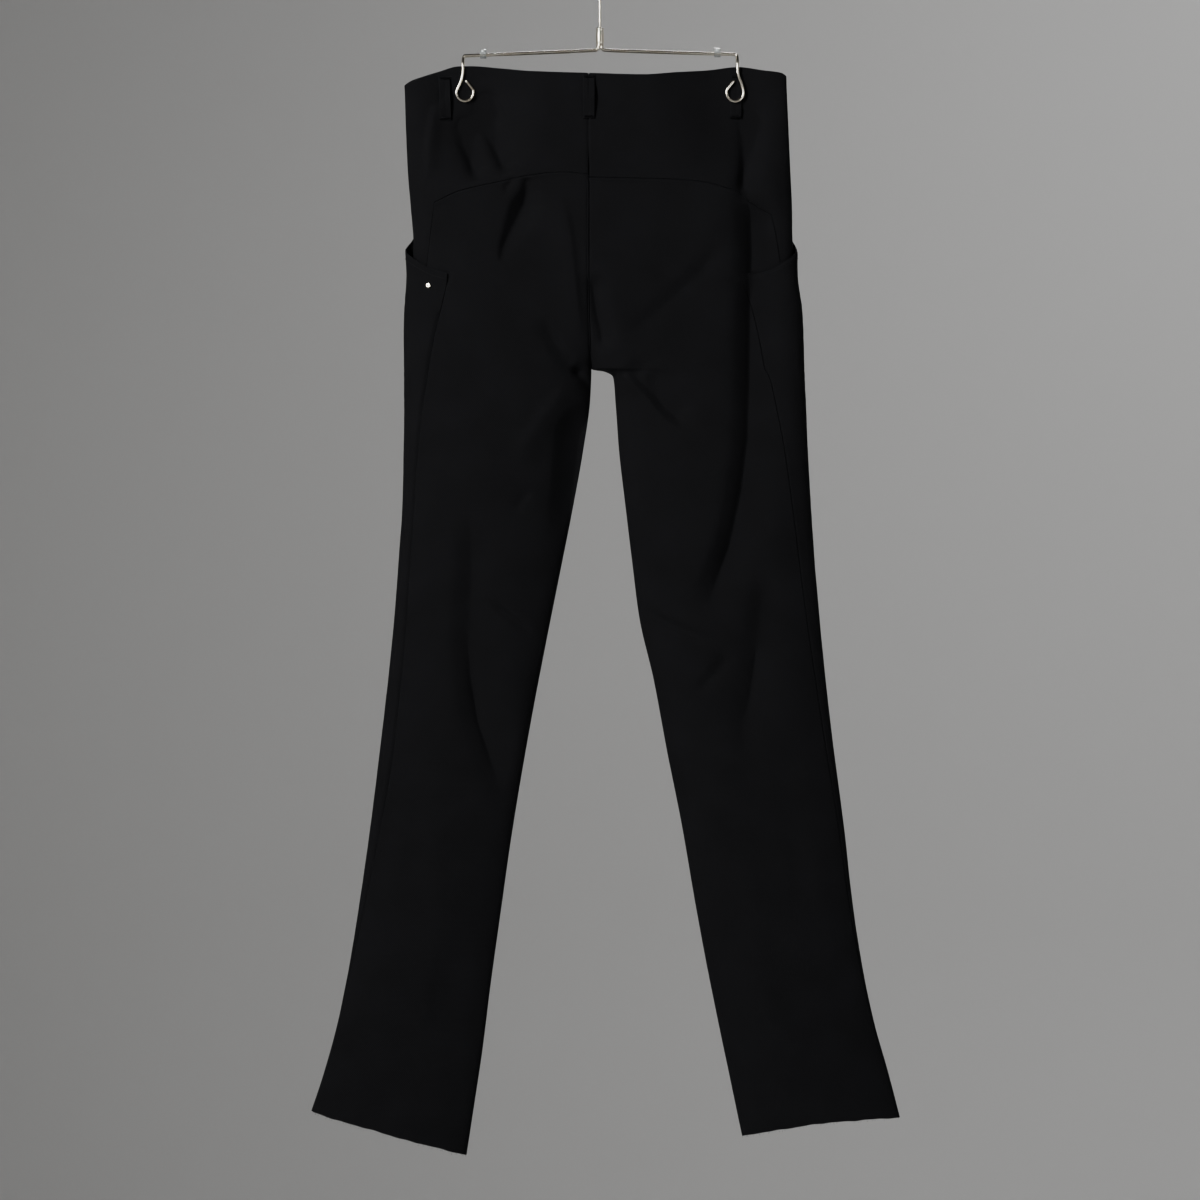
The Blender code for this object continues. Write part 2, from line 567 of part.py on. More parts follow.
def make_fly(legs, front_skin):
    """The placket that covers the front opening, and the button at its top."""
    across, along = np.linspace(0, 1, 5), np.linspace(0, 1, 9)
    downs = FLY["top"] + np.tile(along[:, None] * FLY["length"], (1, len(across)))
    rounding = np.maximum(0.0, (along - 1) / FLY["rounded"] + 1)
    narrowed = 1 - FLY["narrowed"] * rounding[:, None] ** 2
    xs = CENTRE_X + FLY["inset"] + across[None, :] * FLY["width"] * narrowed
    placket = strap("fly_placket", xs, downs, legs, False, front_skin,
                    np.full(xs.shape, SEAM_GAP), FLY["thick"], cloth("fly_placket"))
    point, normal = legs[1].place(CENTRE_X + BUTTON["inset"], BUTTON["drop"], False)
    seat = lay_on(skin_of([placket]), point, normal)
    disc("waist_button", seat + normal * BUTTON["gap"], normal, BUTTON["radius"], BUTTON["thick"],
         BUTTON["edge"], material("black horn button", (0.012, 0.012, 0.013), 0.35))


def make_pocket_rivet(leg, front_skin):
    point, normal = leg.place(RIVET["x"], RIVET["drop"])
    seat = lay_on(front_skin, point, normal)
    disc("pocket_rivet", seat + normal * RIVET["gap"], normal, RIVET["radius"], RIVET["thick"],
         RIVET["edge"], steel("pocket_rivet"), sides=16)


# ---- hanger --------------------------------------------------------------------------------
FERRULE = dict(top=-90.2, length=20.6, radius=4.0)
ARM_END = ((-147.6, -119.4), (148.2, -117.9))      # x, z of each arm's bend down to its clip
CLIP_LOOP = ((-145.7, -160.9), (145.6, -161.4))    # x, z of the middle of each drop-shaped loop
LOOP_RADIUS = 8.9
SLIDER = dict(inset=21.5, length=6.6, inner=3.8, outer=4.9, rise=1.4, rim=0.5)
ARM = dict(near=1.6, foot=1.7, slope_x=7.0, slope_drop=3.0, sag=0.9, bend=3.2)
LOOP_SWEEP = (165, 385)


def arc(centre, radius, start, end, steps):
    """Points (x, z) of an arc between two angles in degrees."""
    angles = np.radians(np.linspace(start, end, steps))
    return [(centre[0] + radius * math.cos(a), centre[1] + radius * math.sin(a)) for a in angles]


def make_hook():
    radius = HOOK_RADIUS
    centre = (0.0, HOOK_WIRE / 2 - radius)
    # question mark: round from the tip over the top, then down into the straight shank
    bow = arc(centre, radius, 205, -42, 22)
    sweep = [(9.6, -36.6), (4.2, -41.0), (1.2, -46.0), (0.0, -52.0)]
    shank = [(0.0, -64.0), (0.0, FERRULE["top"] + 0.3)]
    wire("hanger_hook", [(x, 0.0, z) for x, z in bow + sweep + shank], HOOK_WIRE,
         steel("hanger_hook"))


def make_ferrule():
    bm = bmesh.new()
    bmesh.ops.create_cone(bm, cap_ends=True, segments=20, radius1=FERRULE["radius"] * MM,
                          radius2=FERRULE["radius"] * MM, depth=FERRULE["length"] * MM)
    rims = [edge for edge in bm.edges if abs(edge.verts[0].co.z - edge.verts[1].co.z) < 1e-7]
    bmesh.ops.bevel(bm, geom=rims, offset=0.6 * MM, segments=2, affect="EDGES", profile=0.5)
    made = add_mesh("hanger_ferrule", bm, steel("hanger_ferrule"))
    made.location.z = (FERRULE["top"] - FERRULE["length"] / 2) * MM


def clip_path(side, end, loop):
    """One wire from the ferrule to the end of its loop, as (x, z, share): the share runs from
    the plane of the arm (0) to the plane of the loop (1)."""
    foot = FERRULE["top"] - FERRULE["length"] - SEAM_GAP
    slope = (side * ARM["slope_x"], foot - ARM["slope_drop"])
    middle = ((slope[0] + end[0]) / 2, (slope[1] + end[1]) / 2 + ARM["sag"])
    path = [(side * ARM["foot"], foot, 0), (side * (ARM["foot"] + 0.2), foot - 1.0, 0),
            (side * ARM["slope_x"] / 2, foot - 2.3, 0), (*slope, 0), (*middle, 0)]
    # the bend at the arm's end, and the leg that goes down to the loop: beyond the end, below it
    corner = ((-ARM["bend"], 0.0, 0.0), (-0.9, 0.9, 0.02), (0.0, ARM["bend"], 0.15),
              (0.2, 8.0, 0.75), (0.2, 13.0, 1.0), (0.3, 20.0, 1.0), (1.7, 26.0, 1.0),
              (4.4, 33.0, 1.0))
    path += [(end[0] + side * beyond, end[1] - below, share) for beyond, below, share in corner]
    around = arc((0.0, 0.0), LOOP_RADIUS, *LOOP_SWEEP, 10)
    path += [(loop[0] - side * x, loop[1] + z, 1) for x, z in around]
    path.append((loop[0] - side * 1.9, loop[1] + 12.1, 1))
    return path


def make_clip_wires():
    """Two wires to each arm, front and back, each ending in a drop-shaped loop."""
    for index, side in enumerate((-1, 1)):
        path = clip_path(side, ARM_END[index], CLIP_LOOP[index])
        for wall, wall_name in ((-1, "back"), (1, "front")):
            name = "hanger_wire_%s_%s" % (wall_name, ("left", "right")[index])
            pressed = PINCHED + SEAM_GAP + WIRE / 2
            if index == 1 and wall < 0:  # this loop lies on a belt loop
                pressed += BELT_LOOP["thick"] + SEAM_GAP
            near = ARM["near"]
            points = [(x, wall * (near + (pressed - near) * share), z) for x, z, share in path]
            wire(name, points, WIRE, steel(name))


def make_sliders():
    """The clear sleeve on each arm that closes its clip."""
    half, inner, outer = SLIDER["length"] / 2, SLIDER["inner"], SLIDER["outer"]
    rim = SLIDER["rim"]
    profile = ((inner, -half), (inner, half), (outer - rim, half), (outer, half - rim),
               (outer, -half + rim), (outer - rim, -half))
    for index, side in enumerate((-1, 1)):
        name = "hanger_slider_" + ("left", "right")[index]
        bm = bmesh.new()
        verts = [bm.verts.new((radius * MM, 0.0, z * MM)) for radius, z in profile]
        for k, vert in enumerate(verts):
            bm.edges.new((vert, verts[(k + 1) % len(verts)]))
        bmesh.ops.spin(bm, geom=bm.verts[:] + bm.edges[:], cent=(0, 0, 0), axis=(0, 0, 1),
                       angle=math.tau, steps=16, use_merge=False, use_duplicate=False)
        bmesh.ops.remove_doubles(bm, verts=bm.verts, dist=0.01 * MM)
        clear = material("clear plastic, " + name, (0.9, 0.92, 0.93), 0.12, alpha=0.35)
        made = add_mesh(name, bm, clear)
        end_x, end_z = ARM_END[index]
        made.rotation_euler = (0.0, math.pi / 2, 0.0)
        made.location = (MM * (end_x - side * SLIDER["inset"]), 0.0,
                         MM * (end_z + SLIDER["rise"]))


def main():
    for old in list(bpy.data.objects):
        bpy.data.objects.remove(old, do_unlink=True)
    parts = bpy.data.collections.new(COLLECTION)
    bpy.context.scene.collection.children.link(parts)

    legs = (Leg("left", -1, LEFT_RINGS), Leg("right", 1, RIGHT_RINGS))
    yokes = [make_back_yoke(leg) for leg in legs]
    for leg in legs:
        make_back_leg(leg)
    fronts = [make_front_leg(leg) for leg in legs]
    back_skin, front_skin = skin_of(yokes), skin_of(fronts)
    make_belt_loops(legs, back_skin, front_skin)
    make_fly(legs, front_skin)
    make_pocket_rivet(legs[0], front_skin)
    make_hook()
    make_ferrule()
    make_clip_wires()
    make_sliders()


main()
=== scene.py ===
import math

import bmesh
import bpy
import numpy as np
from mathutils import Matrix, Vector


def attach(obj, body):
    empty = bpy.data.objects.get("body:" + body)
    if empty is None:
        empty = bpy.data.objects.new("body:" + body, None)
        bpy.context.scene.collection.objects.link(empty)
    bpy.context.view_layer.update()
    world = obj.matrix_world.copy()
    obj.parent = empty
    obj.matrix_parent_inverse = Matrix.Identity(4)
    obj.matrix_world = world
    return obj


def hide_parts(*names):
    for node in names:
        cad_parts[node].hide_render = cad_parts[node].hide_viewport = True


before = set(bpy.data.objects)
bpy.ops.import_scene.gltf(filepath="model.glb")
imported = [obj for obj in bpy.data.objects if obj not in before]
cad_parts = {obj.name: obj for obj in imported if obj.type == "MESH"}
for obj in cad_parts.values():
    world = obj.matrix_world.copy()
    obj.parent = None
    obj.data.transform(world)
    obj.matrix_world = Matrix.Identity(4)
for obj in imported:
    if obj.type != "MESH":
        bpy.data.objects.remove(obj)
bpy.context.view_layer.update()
mm = 0.001  # every table below is in millimetres
print("frame loaded with", len(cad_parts), "nodes")

# ---- the form that the trousers hang in ----
# "drop" is the distance below the level waist line. The back faces -Y, the wearer's left is -X.
trousers = dict(
    waistLine=-141.0,
    clothThickness=1.4,
    seamGap=0.10,         # what shows of the gap between two sewn pieces
    centreX=-11.9,        # centre-back seam
    crotch=317.5,
    seatStart=232.0,      # the centre seam begins to curve under here
    seatRound=1.1,        # and how gently the seat turns under, away from that seam
    edgeFade=100.0,       # the uneven waist edge levels out over this drop
    splay=3.0,            # the front layer shows this much below the left hem
    rightHemBow=5.5,
    hemZone=0.9,
    hemWaver=0.22,        # the raw hem isn't cut quite straight
    hemWaves=((1.0, 5.3, 0), (0.8, 2.9, 1), (1.2, 11.0, 2)),   # size, length, phase
    probe=(0.004, 0.8),   # how far round and how far down a surface's lie is measured
)
# low waves of the hung cloth, away from its folds: each is longer than the one before by "growth",
# and "total" is about what the heights of all of them add up to
ripple = dict(height=0.42, total=3.4, count=26, shortest=34.0, growth=1.09, turn=0.55, even=120,
              power=0.9, seed=11)
clips = dict(x=(-145.5, 145.8), drop=19.0, pinched=3.6, closest=2.3, flatRadius=12.0,
             endRadius=94.0, lengthen=0.75)
pocket = dict(lift=(8.6, 5.2), narrowed=(1.0, 0.86))

# rings from waist to hem: outer drop and x, inner drop and x, how far across the back the
# outseam lies, half depth of the back wall and of the front wall
ringColumns = ("dropOut", "xOut", "dropIn", "xIn", "seam", "back", "front")
leftRings = (
    (0.0, -211.1, 0.0, -11.9, 0.800, 17.0, 16.0),
    (52.9, -209.7, 52.9, -11.9, 0.800, 18.5, 17.5),
    (102.6, -207.7, 102.6, -11.9, 0.800, 21.0, 19.0),
    (145.8, -204.2, 145.8, -11.9, 0.800, 23.0, 20.0),
    (181.4, -201.7, 181.4, -11.9, 0.800, 24.5, 21.0),
    (216.0, -201.7, 216.0, -11.9, 0.800, 26.0, 22.0),
    (253.8, -205.4, 253.8, -11.5, 0.822, 27.0, 22.5),
    (286.2, -208.0, 286.2, -10.5, 0.851, 28.0, 23.0),
    (317.5, -209.6, 317.5, -9.2, 0.874, 28.5, 23.5),
    (325.0, -210.0, 326.0, -9.3, 0.878, 28.5, 23.5),
    (336.0, -210.4, 337.0, -9.8, 0.884, 28.5, 24.0),
    (349.0, -211.0, 351.0, -10.5, 0.892, 28.5, 24.0),
    (400.0, -212.1, 405.0, -18.0, 0.914, 28.0, 24.0),
    (459.0, -213.3, 470.0, -29.7, 0.927, 27.0, 24.0),
    (524.0, -217.6, 537.0, -43.0, 0.925, 25.0, 23.0),
    (589.0, -222.5, 604.0, -56.4, 0.917, 23.0, 22.0),
    (653.0, -229.0, 675.0, -70.2, 0.908, 21.5, 21.0),
    (729.0, -237.8, 753.0, -84.2, 0.903, 20.0, 20.0),
    (810.0, -247.9, 826.0, -96.1, 0.925, 19.0, 19.0),
    (891.0, -259.4, 910.0, -108.0, 0.955, 18.0, 18.0),
    (962.0, -270.9, 984.0, -118.3, 0.980, 17.0, 17.0),
    (1025.0, -284.0, 1053.0, -126.9, 0.990, 16.5, 16.0),
    (1080.0, -299.2, 1107.0, -135.0, 0.990, 16.0, 15.5),
    (1119.0, -312.1, 1166.0, -144.1, 0.990, 15.5, 15.0),
)
rightRings = (
    (0.0, 201.1, 0.0, -11.9, 0.745, 17.0, 16.0),
    (52.9, 203.5, 52.9, -11.9, 0.745, 18.5, 17.5),
    (102.6, 205.6, 102.6, -11.9, 0.745, 21.0, 19.0),
    (145.8, 207.5, 145.8, -11.9, 0.745, 23.0, 20.0),
    (181.4, 208.0, 181.4, -11.9, 0.745, 24.5, 21.0),
    (216.0, 209.0, 216.0, -11.9, 0.745, 26.0, 22.0),
    (253.8, 214.9, 253.8, -11.5, 0.776, 27.0, 22.5),
    (286.2, 217.6, 286.2, -10.5, 0.798, 28.0, 23.0),
    (317.5, 219.6, 317.5, -9.2, 0.815, 28.5, 23.5),
    (325.0, 220.2, 320.2, 4.3, 0.818, 28.5, 23.5),
    (336.0, 220.9, 326.2, 14.0, 0.824, 28.5, 24.0),
    (356.0, 222.4, 355.3, 16.8, 0.838, 28.5, 24.0),
    (405.0, 224.6, 405.0, 20.4, 0.872, 28.0, 24.0),
    (464.0, 227.9, 464.0, 27.2, 0.895, 27.0, 24.0),
    (527.0, 232.2, 527.0, 34.8, 0.912, 25.0, 23.0),
    (586.0, 237.3, 586.0, 42.4, 0.924, 23.0, 22.0),
    (653.0, 243.8, 653.0, 57.9, 0.938, 21.5, 21.0),
    (729.0, 252.7, 729.0, 72.1, 0.952, 20.0, 20.0),
    (810.0, 263.4, 810.0, 88.3, 0.964, 19.0, 19.0),
    (891.0, 272.5, 893.0, 102.6, 0.975, 18.0, 18.0),
    (957.0, 282.4, 959.0, 114.8, 0.985, 17.0, 17.0),
    (1021.0, 295.6, 1027.0, 128.5, 0.990, 16.5, 16.0),
    (1078.0, 311.6, 1086.0, 140.9, 0.990, 16.0, 15.5),
    (1126.0, 324.0, 1146.0, 153.4, 0.990, 15.5, 15.0),
)
# the waist edge rises to the two clips and sags between them: x, rise
waistEdge = (
    (-212.0, -11.5), (-203.0, -6.5), (-190.0, -2.2), (-177.0, 2.0), (-151.0, 9.1), (-138.0, 9.2),
    (-108.0, 6.4), (-73.0, 2.4), (-12.0, 0.0), (48.0, -1.5), (82.0, 1.5), (117.0, 4.6),
    (149.0, 8.3), (177.0, 4.5), (195.0, 2.1), (203.0, -2.0),
)
# yoke seam of each side from the centre out, and where it turns down to the pocket: x, drop
yokeSeam = (
    ((-11.9, 109.8), (-39.0, 107.2), (-79.0, 111.2), (-106.0, 117.0), (-132.0, 122.2),
     (-152.0, 127.4), (-178.2, 139.3)),
    ((-11.9, 112.7), (72.4, 114.8), (112.3, 117.6), (136.6, 124.0), (147.4, 127.0),
     (161.5, 138.0), (184.7, 151.2)),
)
yokeSide = (
    ((-178.2, 139.3), (-182.5, 172.0), (-186.3, 204.0)),
    ((184.7, 151.2), (189.5, 172.0), (193.3, 196.0)),
)
# pocket mouth: how far round the leg (0 inner back, 1 side, 2 inner front), drop, share of the
# pocket's lift, and how far down the yoke runs on behind it
mouthColumns = ("around", "drop", "lift", "backing")
mouthRows = (
    (0.710, 216.0, 0.00, 216.0),
    (0.770, 212.5, 0.20, 226.0),
    (0.825, 207.0, 0.45, 233.0),
    (0.900, 199.0, 0.80, 228.0),
    (1.000, 189.0, 1.00, 220.0),
    (1.090, 176.0, 0.90, 210.0),
    (1.160, 146.0, 0.80, 184.0),
    (1.210, 88.0, 0.72, 134.0),
    (1.250, 0.0, 0.68, 56.0),
    (1.292, 0.0, 0.60, 20.0),
    (1.345, 0.0, 0.00, 0.0),
    (2.000, 0.0, 0.00, 0.0),
)
mouthTable = dict(zip(mouthColumns, zip(*mouthRows)))
mouthStart = mouthTable["around"][0]
mouthCorner = 8  # the row at which the mouth meets the waist edge
liftFade = ((0.0, 1.0), (20.0, 0.93), (43.0, 0.83), (65.0, 0.70), (86.0, 0.57), (108.0, 0.40),
            (128.0, 0.26), (150.0, 0.13), (175.0, 0.03), (190.0, 0.0))

# Folds, as rows of: half width to the left and to the right of the fold's line as the wall is
# drawn here, depth (negative for a ridge), the line as (x, drop) points from its top down, and its
# style. "taper" is the share of the line that it fades over at its ends. A "step" is full on its
# left and falls off short at its line, as hung cloth does; a "plane" falls away straight, from a
# crisp ridge on its left down to its line. A "lens" is widest a third of the way down.
backFolds = (
    # right leg: the long fold from the clip to the knee, with its narrow core
    ((6, 16), 8.6, ((160, 32), (158, 62), (156, 92), (151, 142)), dict(shape="step", taper=0.2)),
    ((2.6, 7), 2.6, ((159.5, 44), (157.5, 72), (155, 100), (151, 132)),
     dict(shape="step", taper=0.2)),
    ((19, 32), 11.5, ((154, 104), (162, 150), (164, 190), (162, 243), (161, 329), (159, 394),
     (152, 452), (139, 511), (123, 552), (108, 590)), dict(shape="plane", ridge=0.05, taper=0.13)),
    ((3.6, 7), 1.6, ((154, 120), (160, 152), (162, 190), (160, 243), (159, 329), (157, 394),
     (150, 452), (137, 511), (122, 552), (109, 582)), dict(shape="step", taper=0.16)),
    ((17, 24), 5.8, ((178, 500), (174, 560), (167, 630), (158, 680), (148, 750)),
     dict(shape="plane", ridge=0.1)),
    ((3.5, 6), 1.6, ((168, 610), (165, 650), (158, 696)), dict(shape="step")),
    ((5, 4), 3.0, ((40, 570), (70, 590), (122, 611)), {}),
    ((8, 6), 3.0, ((144, 616), (126, 644), (98, 676)), {}),
    ((8.5, 18), 7.2, ((23, 314), (33, 322), (45, 333), (58, 345), (67, 358), (82, 371), (98, 384)),
     dict(shape="plane", ridge=0.02, taper=0.24)),
    ((15, 7), -4.0, ((12, 331), (24, 330), (40, 328), (62, 325)), {}),
    ((5, 12), 5.6, ((-10, 214), (-4, 256), (1.5, 280), (4, 303)), dict(shape="step", taper=0.22)),
    ((22, 10), 3.6, ((22, 292), (43, 275), (108, 216), (138, 174)), dict(shape="step")),
    ((9, 6), 0.8, ((70, 300), (50, 312), (36, 330)), {}),
    # left side: folds that fan out from the clip
    ((6, 15), 8.0, ((-150, 46), (-146, 76), (-140, 95), (-133, 118)),
     dict(shape="step", taper=0.22)),
    ((2.4, 6), 2.8, ((-145, 72), (-140, 94), (-136, 108), (-133, 119)),
     dict(shape="step", taper=0.18)),
    ((6.5, 16), 7.6, ((-136, 24), (-127, 46), (-121, 63), (-114, 79), (-107, 95), (-100, 112)),
     dict(shape="step", taper=0.16)),
    ((2.5, 6), 2.6, ((-133, 29), (-126.5, 46), (-120.5, 63), (-114, 79), (-107, 95), (-101, 110)),
     dict(shape="step", taper=0.15)),
    ((5, 6), 1.8, ((-121, 24), (-112, 42), (-103, 58)), {}),
    ((4, 10), -3.6, ((-176, 26), (-182, 59), (-185, 84), (-186, 124)), {}),
    ((7, 7), 1.0, ((-150, 12), (-172, 30), (-198, 44)), {}),
    # the short deep one that hangs from the yoke seam like a dart
    ((14.5, 15), 12.5, ((-79.6, 110), (-79.4, 128), (-82, 141), (-88, 153), (-95, 168), (-104, 188),
     (-108, 206)), dict(shape="plane", ridge=0.02, taper=0.06, lens=True)),
    ((3.5, 3.5), 2.2, ((-91, 111), (-97, 119), (-104, 130)), {}),
    ((15, 5), -2.6, ((-44, 120), (-32, 180), (-26, 240), (-18, 300)), {}),
    # left crotch and thigh
    ((40, 30), 20.0, ((-10, 394), (-13, 440), (-18, 512)), dict(shape="plane", taper=(0.0, 0.42))),
    ((9, 15), -3.2, ((-27, 326), (-54, 364), (-96, 424)), {}),
    ((10, 5), 4.4, ((-64, 262), (-42, 300), (-18, 330)), {}),
    ((6, 7), 10.0, ((-31, 314), (-16, 329), (-4, 347)), {}),
    ((19, 28), 7.6, ((-141, 440), (-138, 540), (-142, 620), (-132, 696), (-108, 768), (-94, 806)),
     dict(shape="plane", ridge=0.1, taper=0.22)),
    ((3, 8), 2.2, ((-142, 610), (-140, 650), (-131, 698), (-109, 766)), dict(shape="step")),
    ((4, 3.5), 3.2, ((-122, 566), (-100, 582), (-70, 604)), {}),
    ((7, 5), 1.7, ((-73, 446), (-94, 475)), {}),
    ((14, 14), 1.5, ((-200, 700), (-196, 800), (-206, 900)), {}),
    ((15, 13), -1.6, ((-170, 820), (-178, 940), (-196, 1070)), {}),
    ((15, 14), 1.4, ((206, 720), (212, 840), (226, 960)), {}),
    ((14, 15), -1.5, ((150, 820), (170, 960), (196, 1090)), {}),
)
frontFolds = (
    # the same pull from the clips, the crotch and the knees as on the back
    ((8, 18), 5.0, ((146, 40), (132, 100), (112, 156)), dict(shape="step")),
    ((6, 14), 3.0, ((126, 26), (104, 66), (82, 98)), dict(shape="step")),
    ((8, 18), 5.0, ((-100, 156), (-122, 104), (-142, 46)), dict(shape="step")),
    ((6, 14), 2.8, ((-80, 98), (-100, 64), (-118, 28)), dict(shape="step")),
    ((10, 13), 5.0, ((22, 345), (62, 322), (104, 290)), {}),
    ((3.4, 4.4), 1.8, ((24, 352), (58, 336), (92, 314)), {}),
    ((13, 10), 5.0, ((-30, 352), (-74, 330), (-118, 296)), {}),
    ((4.4, 3.4), 1.8, ((-34, 354), (-70, 338), (-104, 314)), {}),
    ((7, 8), 2.0, ((20, 372), (56, 366), (96, 350)), {}),
    ((7, 8), 2.0, ((-30, 380), (-66, 372), (-110, 352)), {}),
    ((10, 28), 6.0, ((140, 420), (130, 590), (142, 720)), dict(shape="step")),
    ((10, 28), 6.0, ((-150, 740), (-148, 600), (-124, 450)), dict(shape="step")),
    ((6, 8), 1.8, ((84, 560), (112, 576), (150, 580)), {}),
    ((6, 8), 1.7, ((-96, 572), (-128, 590), (-170, 588)), {}),
    ((6, 7), 1.4, ((96, 640), (130, 628), (166, 634)), {}),
    ((15, 14), 1.5, ((190, 720), (202, 860), (220, 980)), {}),
    ((15, 14), 1.5, ((-190, 720), (-196, 850), (-214, 980)), {}),
)
folds = [("back", *row) for row in backFolds] + [("front", *row) for row in frontFolds]
# how they are drawn: a style's defaults, how round the top of a step is, and the mesh: a fold
# narrower than "fine" draws the columns closer together, over its width times "reach"
drawing = dict(taper=0.3, ridge=0.004, crest=1.2, fine=10.0, fineShaped=0.45, reach=2.4)
lens = dict(tip=(0.08, 0.92), spans=(0.34, 0.66), power=0.9, right=(0.4, 0.6))


def smooth(xs, ys, x):  # a smooth curve through the points that never overshoots them
    xs, ys = np.asarray(xs, float), np.asarray(ys, float)
    step = np.diff(xs)
    slope = np.diff(ys) / step
    tangent = np.zeros(len(xs))
    product = slope[:-1] * slope[1:]
    total = np.where(product > 0, slope[:-1] + slope[1:], 1.0)
    tangent[1:-1] = np.where(product > 0, 2 * product / total, 0.0)
    tangent[0], tangent[-1] = slope[0], slope[-1]
    x = np.clip(x, xs[0], xs[-1])
    k = np.clip(np.searchsorted(xs, x) - 1, 0, len(xs) - 2)
    t = (x - xs[k]) / step[k]
    return ((2 * t**3 - 3 * t**2 + 1) * ys[k] + (t**3 - 2 * t**2 + t) * step[k] * tangent[k]
            + (3 * t**2 - 2 * t**3) * ys[k + 1] + (t**3 - t**2) * step[k] * tangent[k + 1])


def ease(start, end, x):  # 0 before start, 1 after end
    t = np.clip((np.asarray(x, float) - start) / (end - start), 0.0, 1.0)
    return t * t * (3 - 2 * t)


def unit(vectors):
    return vectors / np.linalg.norm(vectors, axis=-1, keepdims=True)


def nearLine(line, x, down):  # how far each point is from a line, how far along it, on which side
    line = np.array(line, float)
    nearest = np.full(np.shape(x), 1e9)
    along, leftOf = np.zeros(np.shape(x)), np.zeros(np.shape(x))
    start = 0.0
    lengths = np.linalg.norm(np.diff(line, axis=0), axis=1)
    for (ax, ad), (bx, bd), length in zip(line[:-1], line[1:], lengths):
        t = np.clip(((x - ax) * (bx - ax) + (down - ad) * (bd - ad)) / length**2, 0, 1)
        away = np.hypot(x - ax - t * (bx - ax), down - ad - t * (bd - ad))
        cross = (bx - ax) * (down - ad) - (bd - ad) * (x - ax)
        closer = away < nearest
        nearest = np.where(closer, away, nearest)
        along = np.where(closer, start + t * length, along)
        leftOf = np.where(closer, cross, leftOf)
        start += length
    return nearest, along, leftOf, start


def foldAt(x, down, isBack):  # depth of the folds, and how fine a mesh they need
    depth, finer = np.zeros(np.shape(x)), np.ones(np.shape(x))
    for wall, halves, deep, line, style in folds:
        nearest, along, leftOf, length = nearLine(line, x, down)
        size = 1.0
        if "lens" in style:
            wide = np.minimum(along / lens["spans"][0], (length - along) / lens["spans"][1])
            size = lens["tip"][0] + lens["tip"][1] * np.clip(wide / length, 0, 1)**lens["power"]
        right = lens["right"][0] + lens["right"][1] * size
        half = np.where(leftOf > 0, halves[0] * size, halves[1] * right)
        faded = np.maximum(np.broadcast_to(style.get("taper", drawing["taper"]), 2) * length, 1e-6)
        taper = ease(0, faded[1], length - along)
        if faded[0] > 1e-3:
            taper = taper * ease(0, faded[0], along)
        shape = np.exp(-(nearest / half)**2)
        shaped = "shape" in style
        if shaped:
            crest = drawing["crest"]
            slope = np.exp((crest - np.sqrt(nearest**2 + crest**2)) / half)
            if style["shape"] == "plane":
                rest = 1 - nearest / half
                slope = (rest + np.sqrt(rest**2 + style.get("ridge", drawing["ridge"]))) / 2
            shape = np.where(leftOf > 0, slope, shape)
        onWall = isBack if wall == "back" else ~isBack
        depth += np.where(onWall, deep * size * taper * shape, 0.0)
        narrow = min(halves) * (drawing["fineShaped"] if shaped else 1)
        wanted = max(0.0, drawing["fine"] / narrow - 1) * taper
        spread = drawing["reach"] * (min(halves) if shaped else max(halves))
        finer = np.maximum(finer, 1 + np.where(onWall, wanted * np.exp(-(nearest / spread)**2), 0))
    return depth, finer


def ripples(x, z, wall):  # low uneven waves of a hung cloth, the same on every run
    rng = np.random.default_rng(ripple["seed"] + wall)
    height = np.zeros(np.shape(x))
    for k in range(ripple["count"]):
        length = ripple["shortest"] * ripple["growth"]**k
        angle = rng.normal(0.0, ripple["turn"])  # mostly across the leg, so the waves run down it
        phase = rng.uniform(0, math.tau)
        height += (length / ripple["even"])**ripple["power"] * np.sin(
            math.tau / length * (x * math.cos(angle) + z * math.sin(angle)) + phase)
    return height * ripple["height"] / ripple["total"]


def edgeLift(x, drop):  # how far the waist edge's rise and sag still lift the cloth
    edgeX, edgeRise = zip(*waistEdge)
    return smooth(edgeX, edgeRise, x) * (1 - ease(0.0, trousers["edgeFade"], drop))


